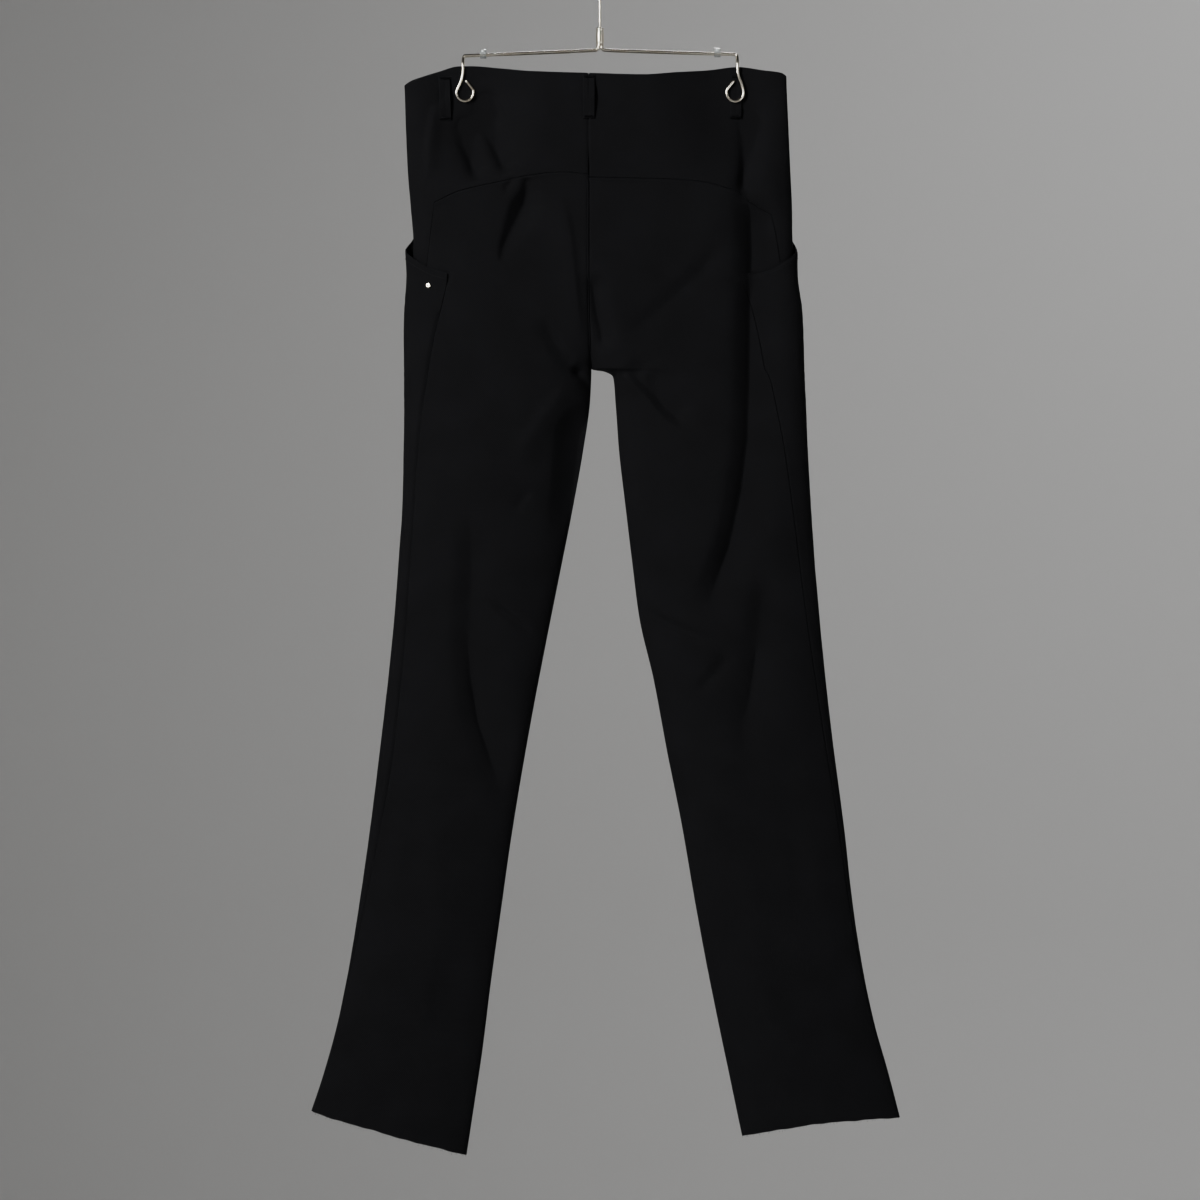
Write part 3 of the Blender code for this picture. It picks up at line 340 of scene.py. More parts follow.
class Leg:  # one half of the trousers: the surface that each of its pieces lies on
    def __init__(self, name, side, rings):
        self.name, self.side = name, side
        self.rings = dict(zip(ringColumns, zip(*rings)))
        self.index = 0 if side < 0 else 1
        self.hem = rings[-1][0]
        self.lift = pocket["lift"][self.index]
        self.narrowed = pocket["narrowed"][self.index]

    def ring(self, name, drop):
        return smooth(self.rings["dropOut"], self.rings[name], drop)

    def seamAround(self, drop):
        return np.arccos(1 - 2 * self.ring("seam", drop)) / math.pi

    def aroundAt(self, x, drop):
        share = (x - self.ring("xIn", drop)) / (self.ring("xOut", drop) - self.ring("xIn", drop))
        return np.arccos(1 - 2 * np.clip(share, 0.0, 1.0)) / math.pi

    def flat(self, around, drop):  # x and the distance under the waist line
        around, drop = np.broadcast_arrays(np.asarray(around, float), np.asarray(drop, float))
        across = (1 - np.cos(math.pi * around)) / 2
        xIn, dropIn = self.ring("xIn", drop), self.ring("dropIn", drop)
        x = xIn + (self.ring("xOut", drop) - xIn) * across
        down = dropIn + (drop - dropIn) * across
        isBack = around <= 1
        sine = np.abs(np.sin(math.pi * around))
        hem = ease(trousers["hemZone"] * self.hem, self.hem, drop)
        if self.side < 0:
            down = down + np.where(isBack, 0.0, trousers["splay"]) * sine * hem
        else:
            down = down - trousers["rightHemBow"] * sine**2 * hem
        waver = sum(size * np.sin(x / length + phase)
                    for size, length, phase in trousers["hemWaves"])
        down = down + trousers["hemWaver"] * waver * hem**6
        return x, down, isBack, sine

    def surface(self, around, drop):
        x, down, isBack, sine = self.flat(around, drop)
        wall = np.where(isBack, -1.0, 1.0)
        deep = np.where(isBack, self.ring("back", drop), self.ring("front", drop))
        seatSpan = trousers["crotch"] - trousers["seatStart"]
        left = 1 - np.maximum(0.0, (down - trousers["seatStart"]) / seatSpan)**2
        soft = trousers["seatRound"] * sine
        centre = (left + np.sqrt(left**2 + soft**2)) / (1 + np.sqrt(1 + soft**2))
        inner = np.sqrt(centre + (1 - centre) * sine**2)
        profile = np.where(np.cos(math.pi * np.asarray(around)) > 0, inner, sine)
        waves = np.where(isBack, ripples(x, down, 0), ripples(x, down, 1)) * np.minimum(1, 2 * sine)
        off = deep * profile + waves
        reach = np.hypot(x - clips["x"][self.index],
                         clips["lengthen"] * np.maximum(0.0, down - clips["drop"]))
        pinch = 1 - ease(clips["flatRadius"], clips["endRadius"], reach)
        off = off + (np.minimum(off, clips["pinched"]) - off) * pinch
        folded = foldAt(x, down, isBack)[0] * np.minimum(1, 1.5 * profile)
        folded = folded * ease(clips["flatRadius"], 2.2 * clips["flatRadius"], reach)
        y = wall * (off - np.minimum(folded, off - np.minimum(off, clips["closest"])))
        return np.stack([x, y, trousers["waistLine"] - down + edgeLift(x, drop)], axis=-1)

    def fineness(self, around, drop):
        x, down, isBack, _ = self.flat(around, drop)
        return foldAt(x, down, isBack)[1]

    def normal(self, around, drop):
        around, drop = np.broadcast_arrays(np.asarray(around, float), np.asarray(drop, float))
        across, beyond = trousers["probe"]
        low, high = np.clip(around - across, 0, 2), np.clip(around + across, 0, 2)
        above, below = np.clip(drop - beyond, 0, self.hem), np.clip(drop + beyond, 0, self.hem)
        along = self.surface(high, drop) - self.surface(low, drop)
        down = self.surface(around, below) - self.surface(around, above)
        return unit(-self.side * np.cross(along, down))

    def lay(self, around, drop):
        return self.surface(around, drop), self.normal(around, drop)

    def mouthRounds(self):
        rounds = np.array(mouthTable["around"][:-1])
        return np.append(np.where(rounds > 1, 1 + (rounds - 1) * self.narrowed, rounds), 2.0)

    def mouth(self, name, around):
        rounds, values = self.mouthRounds(), mouthTable[name]
        if name == "drop":  # the mouth meets the waist edge at a corner
            upTo = mouthCorner + 1
            return np.where(np.asarray(around) < rounds[mouthCorner],
                            smooth(rounds[:upTo], values[:upTo], around), 0.0)
        return smooth(rounds, values, around)

    # the front piece and its pocket are measured evenly, from the outseam wherever that is
    def roundOf(self, even, drop):
        return np.where(even < 1, 1 - (1 - even) * (1 - self.seamAround(drop))
                        / (1 - mouthStart), even)

    def evenOf(self, around, drop):
        return np.where(around < 1, 1 - (1 - around) * (1 - mouthStart)
                        / (1 - self.seamAround(drop)), around)

    def lifted(self, even, drop):  # how far the front piece stands off, because of its pocket
        fadeDrop, fade = zip(*liftFade)
        below = np.maximum(0.0, drop - self.mouth("drop", even))
        return self.lift * self.mouth("lift", even) * smooth(fadeDrop, fade, below)

    def place(self, x, down, onBack=True):  # around and drop of a point given by its x
        drop = np.asarray(down, float)
        for _ in range(30):  # each round comes closer
            drop = down + edgeLift(x, drop)
        around = self.aroundAt(x, drop)
        return (around if onBack else 2 - around), drop


legs = (Leg("left", -1, leftRings), Leg("right", 1, rightRings))


# ---- materials ----
def hexColour(text):  # sRGB hex to linear
    parts = [int(text[k:k + 2], 16) / 255 for k in (0, 2, 4)]
    linear = [v / 12.92 if v <= 0.04045 else ((v + 0.055) / 1.055)**2.4 for v in parts]
    return (*linear, 1.0)


def addNode(tree, kind, values=None, links=None, **settings):  # one node, its values and links
    node = tree.nodes.new(kind)
    for name, value in settings.items():
        setattr(node, name, value)
    for name, value in (values or {}).items():
        node.inputs[name].default_value = value
    for name, (source, output) in (links or {}).items():
        tree.links.new(source.outputs[output], node.inputs[name])
    return node


def newMaterial(name, values):
    made = bpy.data.materials.new(name)
    made.use_nodes = True
    tree = made.node_tree
    shader = tree.nodes["Principled BSDF"]
    for key, value in values.items():
        shader.inputs[key].default_value = value
    return made, tree, shader


def noise(tree, scale, detail, place=None, **values):  # on the object's own coordinates
    place = place or (addNode(tree, "ShaderNodeTexCoord"), "Object")
    return addNode(tree, "ShaderNodeTexNoise", {"Scale": scale, "Detail": detail, **values},
                   {"Vector": place}), "Fac"


def mix(tree, share, a, b):
    return addNode(tree, "ShaderNodeMix", {"Factor": share}, {"A": a, "B": b},
                   data_type="FLOAT"), "Result"


def tint(tree, shader, source, stops):  # from one colour to another
    ramp = addNode(tree, "ShaderNodeValToRGB", {}, {"Fac": source})
    for stop, (position, colour) in zip(ramp.color_ramp.elements, stops):
        stop.position, stop.color = position, hexColour(colour)
    tree.links.new(ramp.outputs["Color"], shader.inputs["Base Color"])


def roughen(tree, shader, source, low, high, start=0.0, end=1.0):
    rough = addNode(tree, "ShaderNodeMapRange",
                    {"From Min": start, "From Max": end, "To Min": low, "To Max": high},
                    {"Value": source})
    tree.links.new(rough.outputs["Result"], shader.inputs["Roughness"])


def emboss(tree, shader, source, strength, distance):
    bump = addNode(tree, "ShaderNodeBump", {"Strength": strength, "Distance": distance},
                   {"Height": source})
    tree.links.new(bump.outputs["Normal"], shader.inputs["Normal"])


clothLook = dict(
    dark="0C0C0D", light="121214",  # dyed black with a cold cast
    ribMm=1.5,        # twill ribs: 0.6 mm on the cloth, drawn coarser so that they show
    grainMm=0.8,      # fuzz of the yarn
    mottleMm=55.0,    # slow change of shade where the pile lies differently
    roughness=0.9, sheen=0.02, shine=0.08,
    waveUnit=0.444,   # a diagonal wave repeats after this at scale 1, and the map is in metres
)


def makeCloth(name, turn=0.0):  # dense cotton twill, piece-dyed black: matt, with a faint nap
    made, tree, shader = newMaterial(name, {
        "Roughness": clothLook["roughness"], "Sheen Weight": clothLook["sheen"],
        "Sheen Roughness": 0.4, "Sheen Tint": hexColour("D6DAE6"),
        "Specular IOR Level": clothLook["shine"]})
    uv = addNode(tree, "ShaderNodeUVMap", uv_map="clothLie")
    lie = addNode(tree, "ShaderNodeMapping", {"Rotation": (0, 0, turn)},
                  {"Vector": (uv, "UV")}), "Vector"
    twill = addNode(tree, "ShaderNodeTexWave",
                    {"Scale": clothLook["waveUnit"] / (clothLook["ribMm"] * mm), "Distortion": 0.6,
                     "Detail": 1.0, "Detail Scale": 1.5}, {"Vector": lie},
                    wave_type="BANDS", bands_direction="DIAGONAL", wave_profile="SIN")
    grain = noise(tree, 1 / (clothLook["grainMm"] * mm), 3.0, lie, Roughness=0.65)
    mottle = noise(tree, 1 / (clothLook["mottleMm"] * mm), 4.0, lie, Roughness=0.55)
    weave = mix(tree, 0.45, (twill, "Fac"), grain)
    shade = mix(tree, 0.5, mottle, weave)
    tint(tree, shader, shade, ((0.3, clothLook["dark"]), (0.7, clothLook["light"])))
    emboss(tree, shader, weave, 0.5, 0.00022)
    return made


def makeSteel():  # bright drawn steel wire, nickel plated: a faint warm cast and fine die lines
    made, tree, shader = newMaterial("nickel plated steel wire", {"Metallic": 1.0})
    cloud = noise(tree, 60.0, 3.0)
    tint(tree, shader, cloud, ((0.35, "E4DAC6"), (0.65, "F3EDDF")))
    roughen(tree, shader, cloud, 0.17, 0.21, 0.3, 0.7)
    emboss(tree, shader, noise(tree, 900.0, 2.0), 0.05, 0.00002)
    return made


def makeClearPlastic():  # clear PVC sleeve, moulded: glossy, a little clouded
    made, tree, shader = newMaterial("clear PVC sleeve", {
        "Transmission Weight": 0.9, "IOR": 1.53, "Base Color": hexColour("E8ECEC")})
    roughen(tree, shader, noise(tree, 700.0, 2.0), 0.06, 0.2)
    return made


def makeHorn():  # black horn button, turned and waxed: satin, with faint paler streaks
    made, tree, shader = newMaterial("black horn", {"Coat Weight": 0.3, "Coat Roughness": 0.25})
    where = addNode(tree, "ShaderNodeTexCoord")
    squeeze = addNode(tree, "ShaderNodeMapping", {"Scale": (1.0, 1.0, 5.0)},
                      {"Vector": (where, "Object")})
    streak = noise(tree, 160.0, 4.0, (squeeze, "Vector"))
    tint(tree, shader, streak, ((0.45, "141415"), (0.75, "2B2927")))
    roughen(tree, shader, streak, 0.3, 0.45)
    return made


def makeThread():  # spun polyester sewing thread: black, a little glossier than the cloth
    made, tree, shader = newMaterial("black polyester thread", {
        "Roughness": 0.6, "Specular IOR Level": 0.2})
    tint(tree, shader, noise(tree, 1500.0, 1.0), ((0.0, "09090A"), (1.0, "151518")))
    return made


clothMaterial = makeCloth("black cotton twill")
clothAcross = makeCloth("black cotton twill, cut across", math.pi / 2)
steelMaterial = makeSteel()
plasticMaterial = makeClearPlastic()
hornMaterial = makeHorn()
threadMaterial = makeThread()
print("materials made")


# ---- meshes ----
def newObject(name, mesh, material):
    mesh.materials.append(material)
    made = bpy.data.objects.new(name, mesh)
    bpy.context.scene.collection.objects.link(made)
    return made


def dress(made, node=None):  # a piece rides the root, and takes the place of its node
    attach(made, "root")
    if node:
        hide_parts(node)
    return made


def smoothed(mesh, degrees):
    mesh.shade_smooth()
    mesh.set_sharp_from_angle(angle=math.radians(degrees))


def finishMesh(name, bm, material):
    mesh = bpy.data.meshes.new(name)
    bmesh.ops.recalc_face_normals(bm, faces=bm.faces)
    bm.to_mesh(mesh)
    bm.free()
    smoothed(mesh, 40)
    return newObject(name, mesh, material)


def yokeChain(leg, count):  # around and drop along the yoke seam, from the centre to its corner
    xs, drops = (np.array(v) for v in zip(*yokeSeam[leg.index]))
    around = np.linspace(0, 1, count) * leg.aroundAt(xs[-1], drops[-1])
    drop = np.full(count, drops[0])
    order = 1 if leg.side > 0 else -1
    for _ in range(8):
        x = leg.surface(around, drop)[:, 0]
        drop = smooth(order * xs, drops, order * x)
    return around, drop


# ---- pieces of cloth ----
cutting = dict(
    near=(0.0, 0.6, 1.3, 2.2, 3.4, 5.0),  # mm from an edge, where the cloth rolls
    step=2.5,        # between rows, down to the knees
    legStep=4.4,     # between rows, under the knees
    kneeDrop=500.0,
    columns=dict(back=74, yoke=(56, 22, 46), front=(50, 38)),
    rim=0.26,        # an edge rounds off over this
    tuck=4.5,        # the back leg and the yoke run on this far under the pocket mouth
    sunkUnder=1.9,   # and the back leg dips this much there
    hidden=(5.0, 8.5),   # from the tucked edge, where that dip begins to end and ends
    seamFrom=6.0,        # the outseam begins this far under the tucked edge
    yokeLength=170.0, hipLength=270.0,   # about how long the rows' run down is
    # the shares of that run over which a row's bend fades out, and over which the columns pass
    # from their places at the top edge to those at the bottom edge
    bendFades=(0.0, 0.45), yokeMix=(0.15, 0.9), frontMix=(0.08, 0.95),
)
samples = np.linspace(0, 1, 161)
# seams as they are pressed, on the left leg and on the right one: how far the cloth beside the seam
# is raised and over what width, and how far it is sunk at the seam and over what width
rolls = dict(
    centre=((0.2, 4.0, 1.3, 2.2), (0.2, 4.0, 0.8, 0.8)),
    underYoke=((1.2, 3.4, 1.7, 1.2),) * 2,
    besideYoke=((0.3, 3.4, 0.2, 0.8),) * 2,
    backOutseam=((0.5, 3.4, 0.7, 0.8), (0.2, 3.4, 0.25, 0.6)),
    yoke=((0.0, 1.0, 0.12, 1.2),) * 2,
    yokeSide=((0.0, 1.0, 0.1, 1.0),) * 2,
    waist=((0.3, 7.0, 0.3, 0.7),) * 2,
    frontOutseam=((0.0, 1.0, 1.5, 2.6), (0.0, 1.0, 0.2, 0.9)),
    mouth=((0.5, 7.0, 0.3, 0.9), (0.5, 7.0, 0.9, 1.4)),
    frontInner=((0.2, 4.0, 0.8, 1.2),) * 2,
)


def arcShares(points):
    run = np.append(0.0, np.cumsum(np.linalg.norm(np.diff(points, axis=0), axis=1)))
    return run / run[-1], run[-1]


def along(chain, shares, leg):  # a chain of around and drop, read at shares of its length
    run, length = arcShares(leg.surface(chain[0], chain[1]))
    return np.interp(shares, run, chain[0]), np.interp(shares, run, chain[1]), length


def settle(leg, around, drop, count):  # the columns of each row: fixed near its ends, and closer
    points = leg.surface(around, drop)  # together where a fold is sharp
    run = np.linalg.norm(np.diff(points, axis=1), axis=-1)
    finer = leg.fineness(around, drop)
    start = np.zeros((len(run), 1))
    length = np.concatenate([start, np.cumsum(run, axis=1)], axis=1)
    weighted = np.cumsum(run * (finer[:, 1:] + finer[:, :-1]) / 2, axis=1)
    weighted = np.concatenate([start, weighted], axis=1)
    near = np.array(cutting["near"])
    placed = []
    for k in range(len(points)):
        high = length[k, -1] - near[::-1]
        ends = np.interp([near[-1], high[0]], length[k], weighted[k])
        middle = np.interp(np.linspace(*ends, count + 2)[1:-1], weighted[k], length[k])
        at = np.concatenate([near, middle, high])
        placed.append([np.interp(at, length[k], values[k]) for values in (around, drop)])
    placed = np.array(placed)
    return placed[:, 0], placed[:, 1]


def legDrops(leg):  # rows from the crotch to the hem, closer where the inner edge turns
    drop = np.linspace(trousers["crotch"], leg.hem, 3000)
    inner = leg.surface(0.0, drop)
    step = np.where(drop < cutting["kneeDrop"], cutting["step"], cutting["legStep"])
    run = np.maximum(np.linalg.norm(np.diff(inner, axis=0), axis=1), np.diff(drop))
    count = np.append(0.0, np.cumsum(run / step[1:]))
    rows = np.interp(np.arange(1, int(count[-1])), count, drop)
    near = np.array(cutting["near"])[::-1]
    return np.concatenate([rows[rows < leg.hem - near[0] - 1], leg.hem - near])


def edgeShares(length, count, start=True, end=True):  # closer together at a sewn start or end
    near = np.array(cutting["near"]) / length
    low = near if start else np.array([0.0])
    high = 1 - near[::-1] if end else np.array([1.0])
    return np.concatenate([low, np.linspace(low[-1], high[0], count)[1:-1], high])


def hipShares(length, end=False):  # shares of a length down the hip
    return edgeShares(length, int(length / cutting["step"]) + 2, end=end)


def backEdge(leg):  # outer edge of a back leg, from the yoke's corner to the level of the crotch
    xs, drops = (list(v) for v in zip(*yokeSide[leg.index]))
    slope = (xs[-1] - xs[-2]) / (drops[-1] - drops[-2])
    end = leg.aroundAt(xs[-1], drops[-1])
    tuck = float(leg.mouth("drop", end)) + cutting["tuck"]
    xs.append(xs[-1] + slope * (tuck - drops[-1]))
    drops.append(tuck)
    down = np.linspace(drops[0], drops[-1], 60)
    side = leg.aroundAt(smooth(drops, xs, down), down)
    inner = np.linspace(side[-1], mouthStart + 0.006, 30)[1:]
    under = leg.mouth("drop", inner) + cutting["tuck"]
    seamDrop = np.linspace(under[-1] + cutting["seamFrom"], trousers["crotch"], 60)
    around = np.concatenate([side, inner, leg.seamAround(seamDrop)])
    drop = np.concatenate([down, under, seamDrop])
    return (around, drop), (side, down), (inner, under), seamDrop


def press(leg, base, **seams):  # how far the cloth is raised and sunk beside each named seam
    offset = np.zeros(base.shape[:-1])
    for name, chain in seams.items():
        raised, raisedWidth, sunk, sunkWidth = rolls[name][leg.index]
        away = distanceTo(base, chain)
        offset += raised * np.exp(-(away / raisedWidth)**2)
        offset -= sunk * np.exp(-(away / sunkWidth)**2)
    return offset


def distanceTo(points, chain):  # from each point to the nearest part of a chain of points
    best = np.full(points.shape[:-1], 1e9)
    for a, b in zip(chain[:-1], chain[1:]):
        run = b - a
        t = np.clip(((points - a) @ run) / max(float(run @ run), 1e-9), 0, 1)
        best = np.minimum(best, np.linalg.norm(points - a - t[..., None] * run, axis=-1))
    return best


def borderOf(rows, cols):
    return ([(0, c) for c in range(cols)] + [(r, cols - 1) for r in range(1, rows)]
            + [(rows - 1, c) for c in range(cols - 2, -1, -1)]
            + [(r, 0) for r in range(rows - 2, 0, -1)])


def wayIn(outer, up, border):  # at each point of the edge, the way in along the cloth
    edge = outer[border[:, 0], border[:, 1]]
    inward = np.cross(up, np.roll(edge, -1, axis=0) - np.roll(edge, 1, axis=0))
    inward /= np.maximum(np.linalg.norm(inward, axis=1, keepdims=True), 1e-9)
    middle = outer.shape[1] // 2  # a place on the first row
    return inward * np.sign(inward[middle] @ (outer[1, border[middle, 1]] - edge[middle]))


def shell(name, outer, facing, lie, material=clothMaterial, thick=trousers["clothThickness"],
          rim=cutting["rim"], gap=trousers["seamGap"]):
    # a closed wall under a grid of points: its edges are rounded, and lie maps the cloth
    rows, cols = outer.shape[:2]
    border = np.array(borderOf(rows, cols))
    edge, up = (grid[border[:, 0], border[:, 1]] for grid in (outer, facing))
    inward = wayIn(outer, up, border)
    outer = outer.copy()
    outer[border[:, 0], border[:, 1]] += inward * (rim + gap / 2)
    inner = outer - facing * thick
    rimPoints = edge + inward * gap / 2 - up * thick / 2

    grid = np.arange(rows * cols).reshape(rows, cols)
    quads = np.stack([grid[:-1, :-1], grid[:-1, 1:], grid[1:, 1:], grid[1:, :-1]],
                     axis=-1).reshape(-1, 4)
    ring = grid[border[:, 0], border[:, 1]]
    nextRing = np.roll(ring, -1)
    count = rows * cols
    rimIndex = 2 * count + np.arange(len(border))
    nextRim = np.roll(rimIndex, -1)
    faces = np.concatenate([
        quads, quads[:, ::-1] + count,
        np.stack([nextRing, ring, rimIndex, nextRim], axis=-1),
        np.stack([nextRim, rimIndex, ring + count, nextRing + count], axis=-1)])
    across = np.cross(outer[0, 1] - outer[0, 0], outer[1, 0] - outer[0, 0])
    if across @ facing[0, 0] < 0:
        faces = faces[:, ::-1]
    points = np.concatenate([outer.reshape(-1, 3), inner.reshape(-1, 3), rimPoints]) * mm
    places = np.concatenate([grid.ravel(), grid.ravel(), ring])
    mesh = bpy.data.meshes.new(name)
    mesh.from_pydata(points.tolist(), [], faces.tolist())
    layer = mesh.uv_layers.new(name="clothLie")
    layer.data.foreach_set("uv", (lie.reshape(-1, 2)[places[faces.ravel()]] * mm).ravel())
    mesh.update()
    smoothed(mesh, 70)
    return newObject(name, mesh, material)


def clothLie(points, start=0.0):  # the cloth's own map: along each row, and down
    run = np.cumsum(np.linalg.norm(np.diff(points, axis=1), axis=-1), axis=1)
    run = np.concatenate([np.zeros((len(run), 1)), run], axis=1)
    return np.stack([run + start, -points[..., 2]], axis=-1)


def cutPiece(word, leg, base, facing, offset):  # one cut piece, pressed out from its leg's surface
    made = shell("cloth_%s_%s" % (word, leg.name), base + facing * offset[..., None], facing,
                 clothLie(base))
    print(made.name, "has", len(made.data.polygons), "faces")
    return dress(made, "%s_%s" % (word, leg.name))


def makeBackLeg(leg):
    edgeChain, sideRun, underRun, seamDrop = backEdge(leg)
    centre = np.linspace(yokeSeam[leg.index][0][1], trousers["crotch"], 600)
    innerShares, innerLength = arcShares(leg.surface(0.0, centre))
    shares = hipShares(innerLength)
    innerDrop = np.interp(shares, innerShares, centre)
    outerAround, outerDrop, _ = along(edgeChain, shares, leg)
    seamAround, seamLine = yokeChain(leg, len(samples))
    bend = seamLine - (innerDrop[0] + (outerDrop[0] - innerDrop[0]) * samples)
    keep = 1 - ease(*cutting["bendFades"], shares)
    around = samples[None, :] * outerAround[:, None]
    drop = innerDrop[:, None] + (outerDrop - innerDrop)[:, None] * samples + np.outer(keep, bend)
    below = legDrops(leg)
    around = np.concatenate([around, samples[None, :] * leg.seamAround(below)[:, None]])
    drop = np.concatenate([drop, np.tile(below[:, None], (1, len(samples)))])
    around, drop = settle(leg, around, drop, cutting["columns"]["back"])

    base, facing = leg.lay(around, drop)
    outseamDrop = np.linspace(seamDrop[0] + 8, leg.hem, 240)
    offset = press(leg, base, underYoke=leg.surface(seamAround[::4], seamLine[::4]),
                   besideYoke=leg.surface(sideRun[0][:-6:3], sideRun[1][:-6:3]),
                   backOutseam=leg.surface(leg.seamAround(outseamDrop), outseamDrop))
    offset += press(leg, base, centre=base[::2, 0]) * np.abs(facing[..., 1])
    hidden = 1 - ease(*cutting["hidden"], distanceTo(base, leg.surface(*underRun)))
    dip = np.maximum(0.0, cutting["sunkUnder"] - leg.lifted(leg.evenOf(around, drop), drop))
    return cutPiece("back_leg", leg, base, facing, offset * (1 - hidden) - dip * hidden)


def makeYoke(leg):
    _, sideRun, _, _ = backEdge(leg)
    seamAround, seamLine = yokeChain(leg, 240)
    last, corner = leg.mouthRounds()[-3], sideRun[0][-1]
    behind = np.linspace(corner, last, 240)[1:]
    backing = leg.mouth("backing", behind)
    backing = sideRun[1][-1] + (backing - sideRun[1][-1]) * ease(corner, corner + 0.07, behind)
    chains = ((seamAround, seamLine), sideRun,
              (np.append(corner, behind), np.append(sideRun[1][-1], backing)))
    bottomAround, bottomDrop = (np.concatenate([chain[part][k > 0:] for k, chain in
                                                enumerate(chains)]) for part in (0, 1))
    low = []
    for k, (chain, count) in enumerate(zip(chains, cutting["columns"]["yoke"])):
        length = arcShares(leg.surface(*chain))[1]
        shares = edgeShares(length, count + (k == 1), start=k == 0, end=k == 2)
        low.append(along(chain, shares, leg)[0][k > 0:])
    low = np.concatenate(low)
    top = np.linspace(0, last, 400)
    topShares, topLength = arcShares(leg.surface(top, 0.0))
    columns = len(low) - 2 * len(cutting["near"]) + 2
    high = np.interp(edgeShares(topLength, columns), topShares, top)
    shares = hipShares(cutting["yokeLength"], end=True)
    mixed = ease(*cutting["yokeMix"], shares)[:, None]
    around = high * (1 - mixed) + low * mixed
    drop = shares[:, None] * np.interp(around, bottomAround, bottomDrop)

    base, facing = leg.lay(around, drop)
    offset = press(leg, base, yoke=leg.surface(seamAround[::4], seamLine[::4]),
                   yokeSide=leg.surface(sideRun[0][::3], sideRun[1][::3]), centre=base[::2, 0],
                   waist=leg.surface(top[::6], 0.0))
    return cutPiece("back_yoke", leg, base, facing, offset)


def makeFrontLeg(leg):
    rounds = leg.mouthRounds()
    first, corner = rounds[0], rounds[mouthCorner]
    high = []
    for k, (start, end) in enumerate(((first, corner), (corner, 2.0))):
        run = np.linspace(start, end, 500)
        runShares, length = arcShares(leg.surface(run, leg.mouth("drop", run)))
        shares = edgeShares(length, cutting["columns"]["front"][k], start=k == 0, end=k == 1)
        high.append(np.interp(shares[k:], runShares, run))
    high = np.concatenate(high)

    shares = hipShares(cutting["hipLength"])
    evenRow = np.linspace(first, 2.0, len(samples) * 2)
    top = leg.mouth("drop", evenRow)
    drop = top + (trousers["crotch"] - top) * shares[:, None]
    below = legDrops(leg)
    drop = np.concatenate([drop, np.tile(below[:, None], (1, len(evenRow)))])
    edgeDrop = drop[:, :1]
    around = leg.roundOf(np.tile(evenRow, (len(drop), 1)), edgeDrop)
    low = settle(leg, around, drop, len(high) - 2 * len(cutting["near"]))[0]
    low = leg.evenOf(low, edgeDrop)
    mixed = np.append(ease(*cutting["frontMix"], shares), np.ones(len(below)))[:, None]
    even = high * (1 - mixed) + low * mixed
    top = leg.mouth("drop", even)
    share = np.append(shares, np.zeros(len(below)))[:, None]
    level = np.append(np.zeros(len(shares)), below)[:, None]
    drop = np.where(level > 0, level, top + (trousers["crotch"] - top) * share)
    around = leg.roundOf(even, drop[:, :1])

    base, facing = leg.lay(around, drop)
    mouthRun = np.linspace(first, corner, 120)
    offset = press(leg, base, frontOutseam=base[int(0.45 * len(shares))::2, 0],
                   mouth=leg.surface(mouthRun, leg.mouth("drop", mouthRun)))
    offset += press(leg, base, frontInner=base[::2, -1]) * np.abs(facing[..., 1])
    return cutPiece("front_leg", leg, base, facing, leg.lifted(even, drop) + offset)


backLegs = [makeBackLeg(leg) for leg in legs]
yokes = [makeYoke(leg) for leg in legs]
frontLegs = [makeFrontLeg(leg) for leg in legs]
print("cloth cut and hung")


# ---- pieces laid on the cloth ----
def wallPoint(x, down, onBack, lift):  # points at x, "down" under the waist line, moved out
    x, down, lift = np.broadcast_arrays(*(np.asarray(v, float) for v in (x, down, lift)))
    point, facing = np.zeros(x.shape + (3,)), np.zeros(x.shape + (3,))
    for leg in legs:
        mine = (x < trousers["centreX"]) == (leg.side < 0)
        if not mine.any():
            continue
        around, drop = leg.place(x[mine], down[mine], onBack)
        base, facing[mine] = leg.lay(around, drop)
        raised = lift[mine]
        if not onBack:
            raised = raised + leg.lifted(around, drop)
        point[mine] = base + facing[mine] * raised[:, None]
    return point, facing


beltLoop = dict(width=13.0, length=47.0, thick=1.4, off=0.3, corner=0.9, crown=0.45,
                groove=0.28, grooveWidth=0.9, turned=0.35, turnedAt=0.93, turnedWidth=2.2,
                wall=1.15, rim=0.3, footRises=(0.62, 0.9))
loopRows = (  # name, middle x, top, lean, on the back, bow, lift of the foot
    ("belt_loop_back_centre", -11.9, 2.6, 0.0, True, 3.0, 0.0),
    ("belt_loop_back_left", -168.0, 2.4, 0.03, True, 3.0, 0.0),
    ("belt_loop_back_right", 147.0, 0.4, -0.02, True, 0.0, 1.0),
    ("belt_loop_front_left", -96.0, 0.5, 0.0, False, 3.0, 0.0),
    ("belt_loop_front_right", 78.0, 2.5, 0.0, False, 3.0, 0.0),
)


def loopLift(share, bow, foot):  # how far a belt loop stands off the cloth, along its length
    return (beltLoop["off"] + bow * np.sin(math.pi * share)**2
            + foot * ease(*beltLoop["footRises"], share))


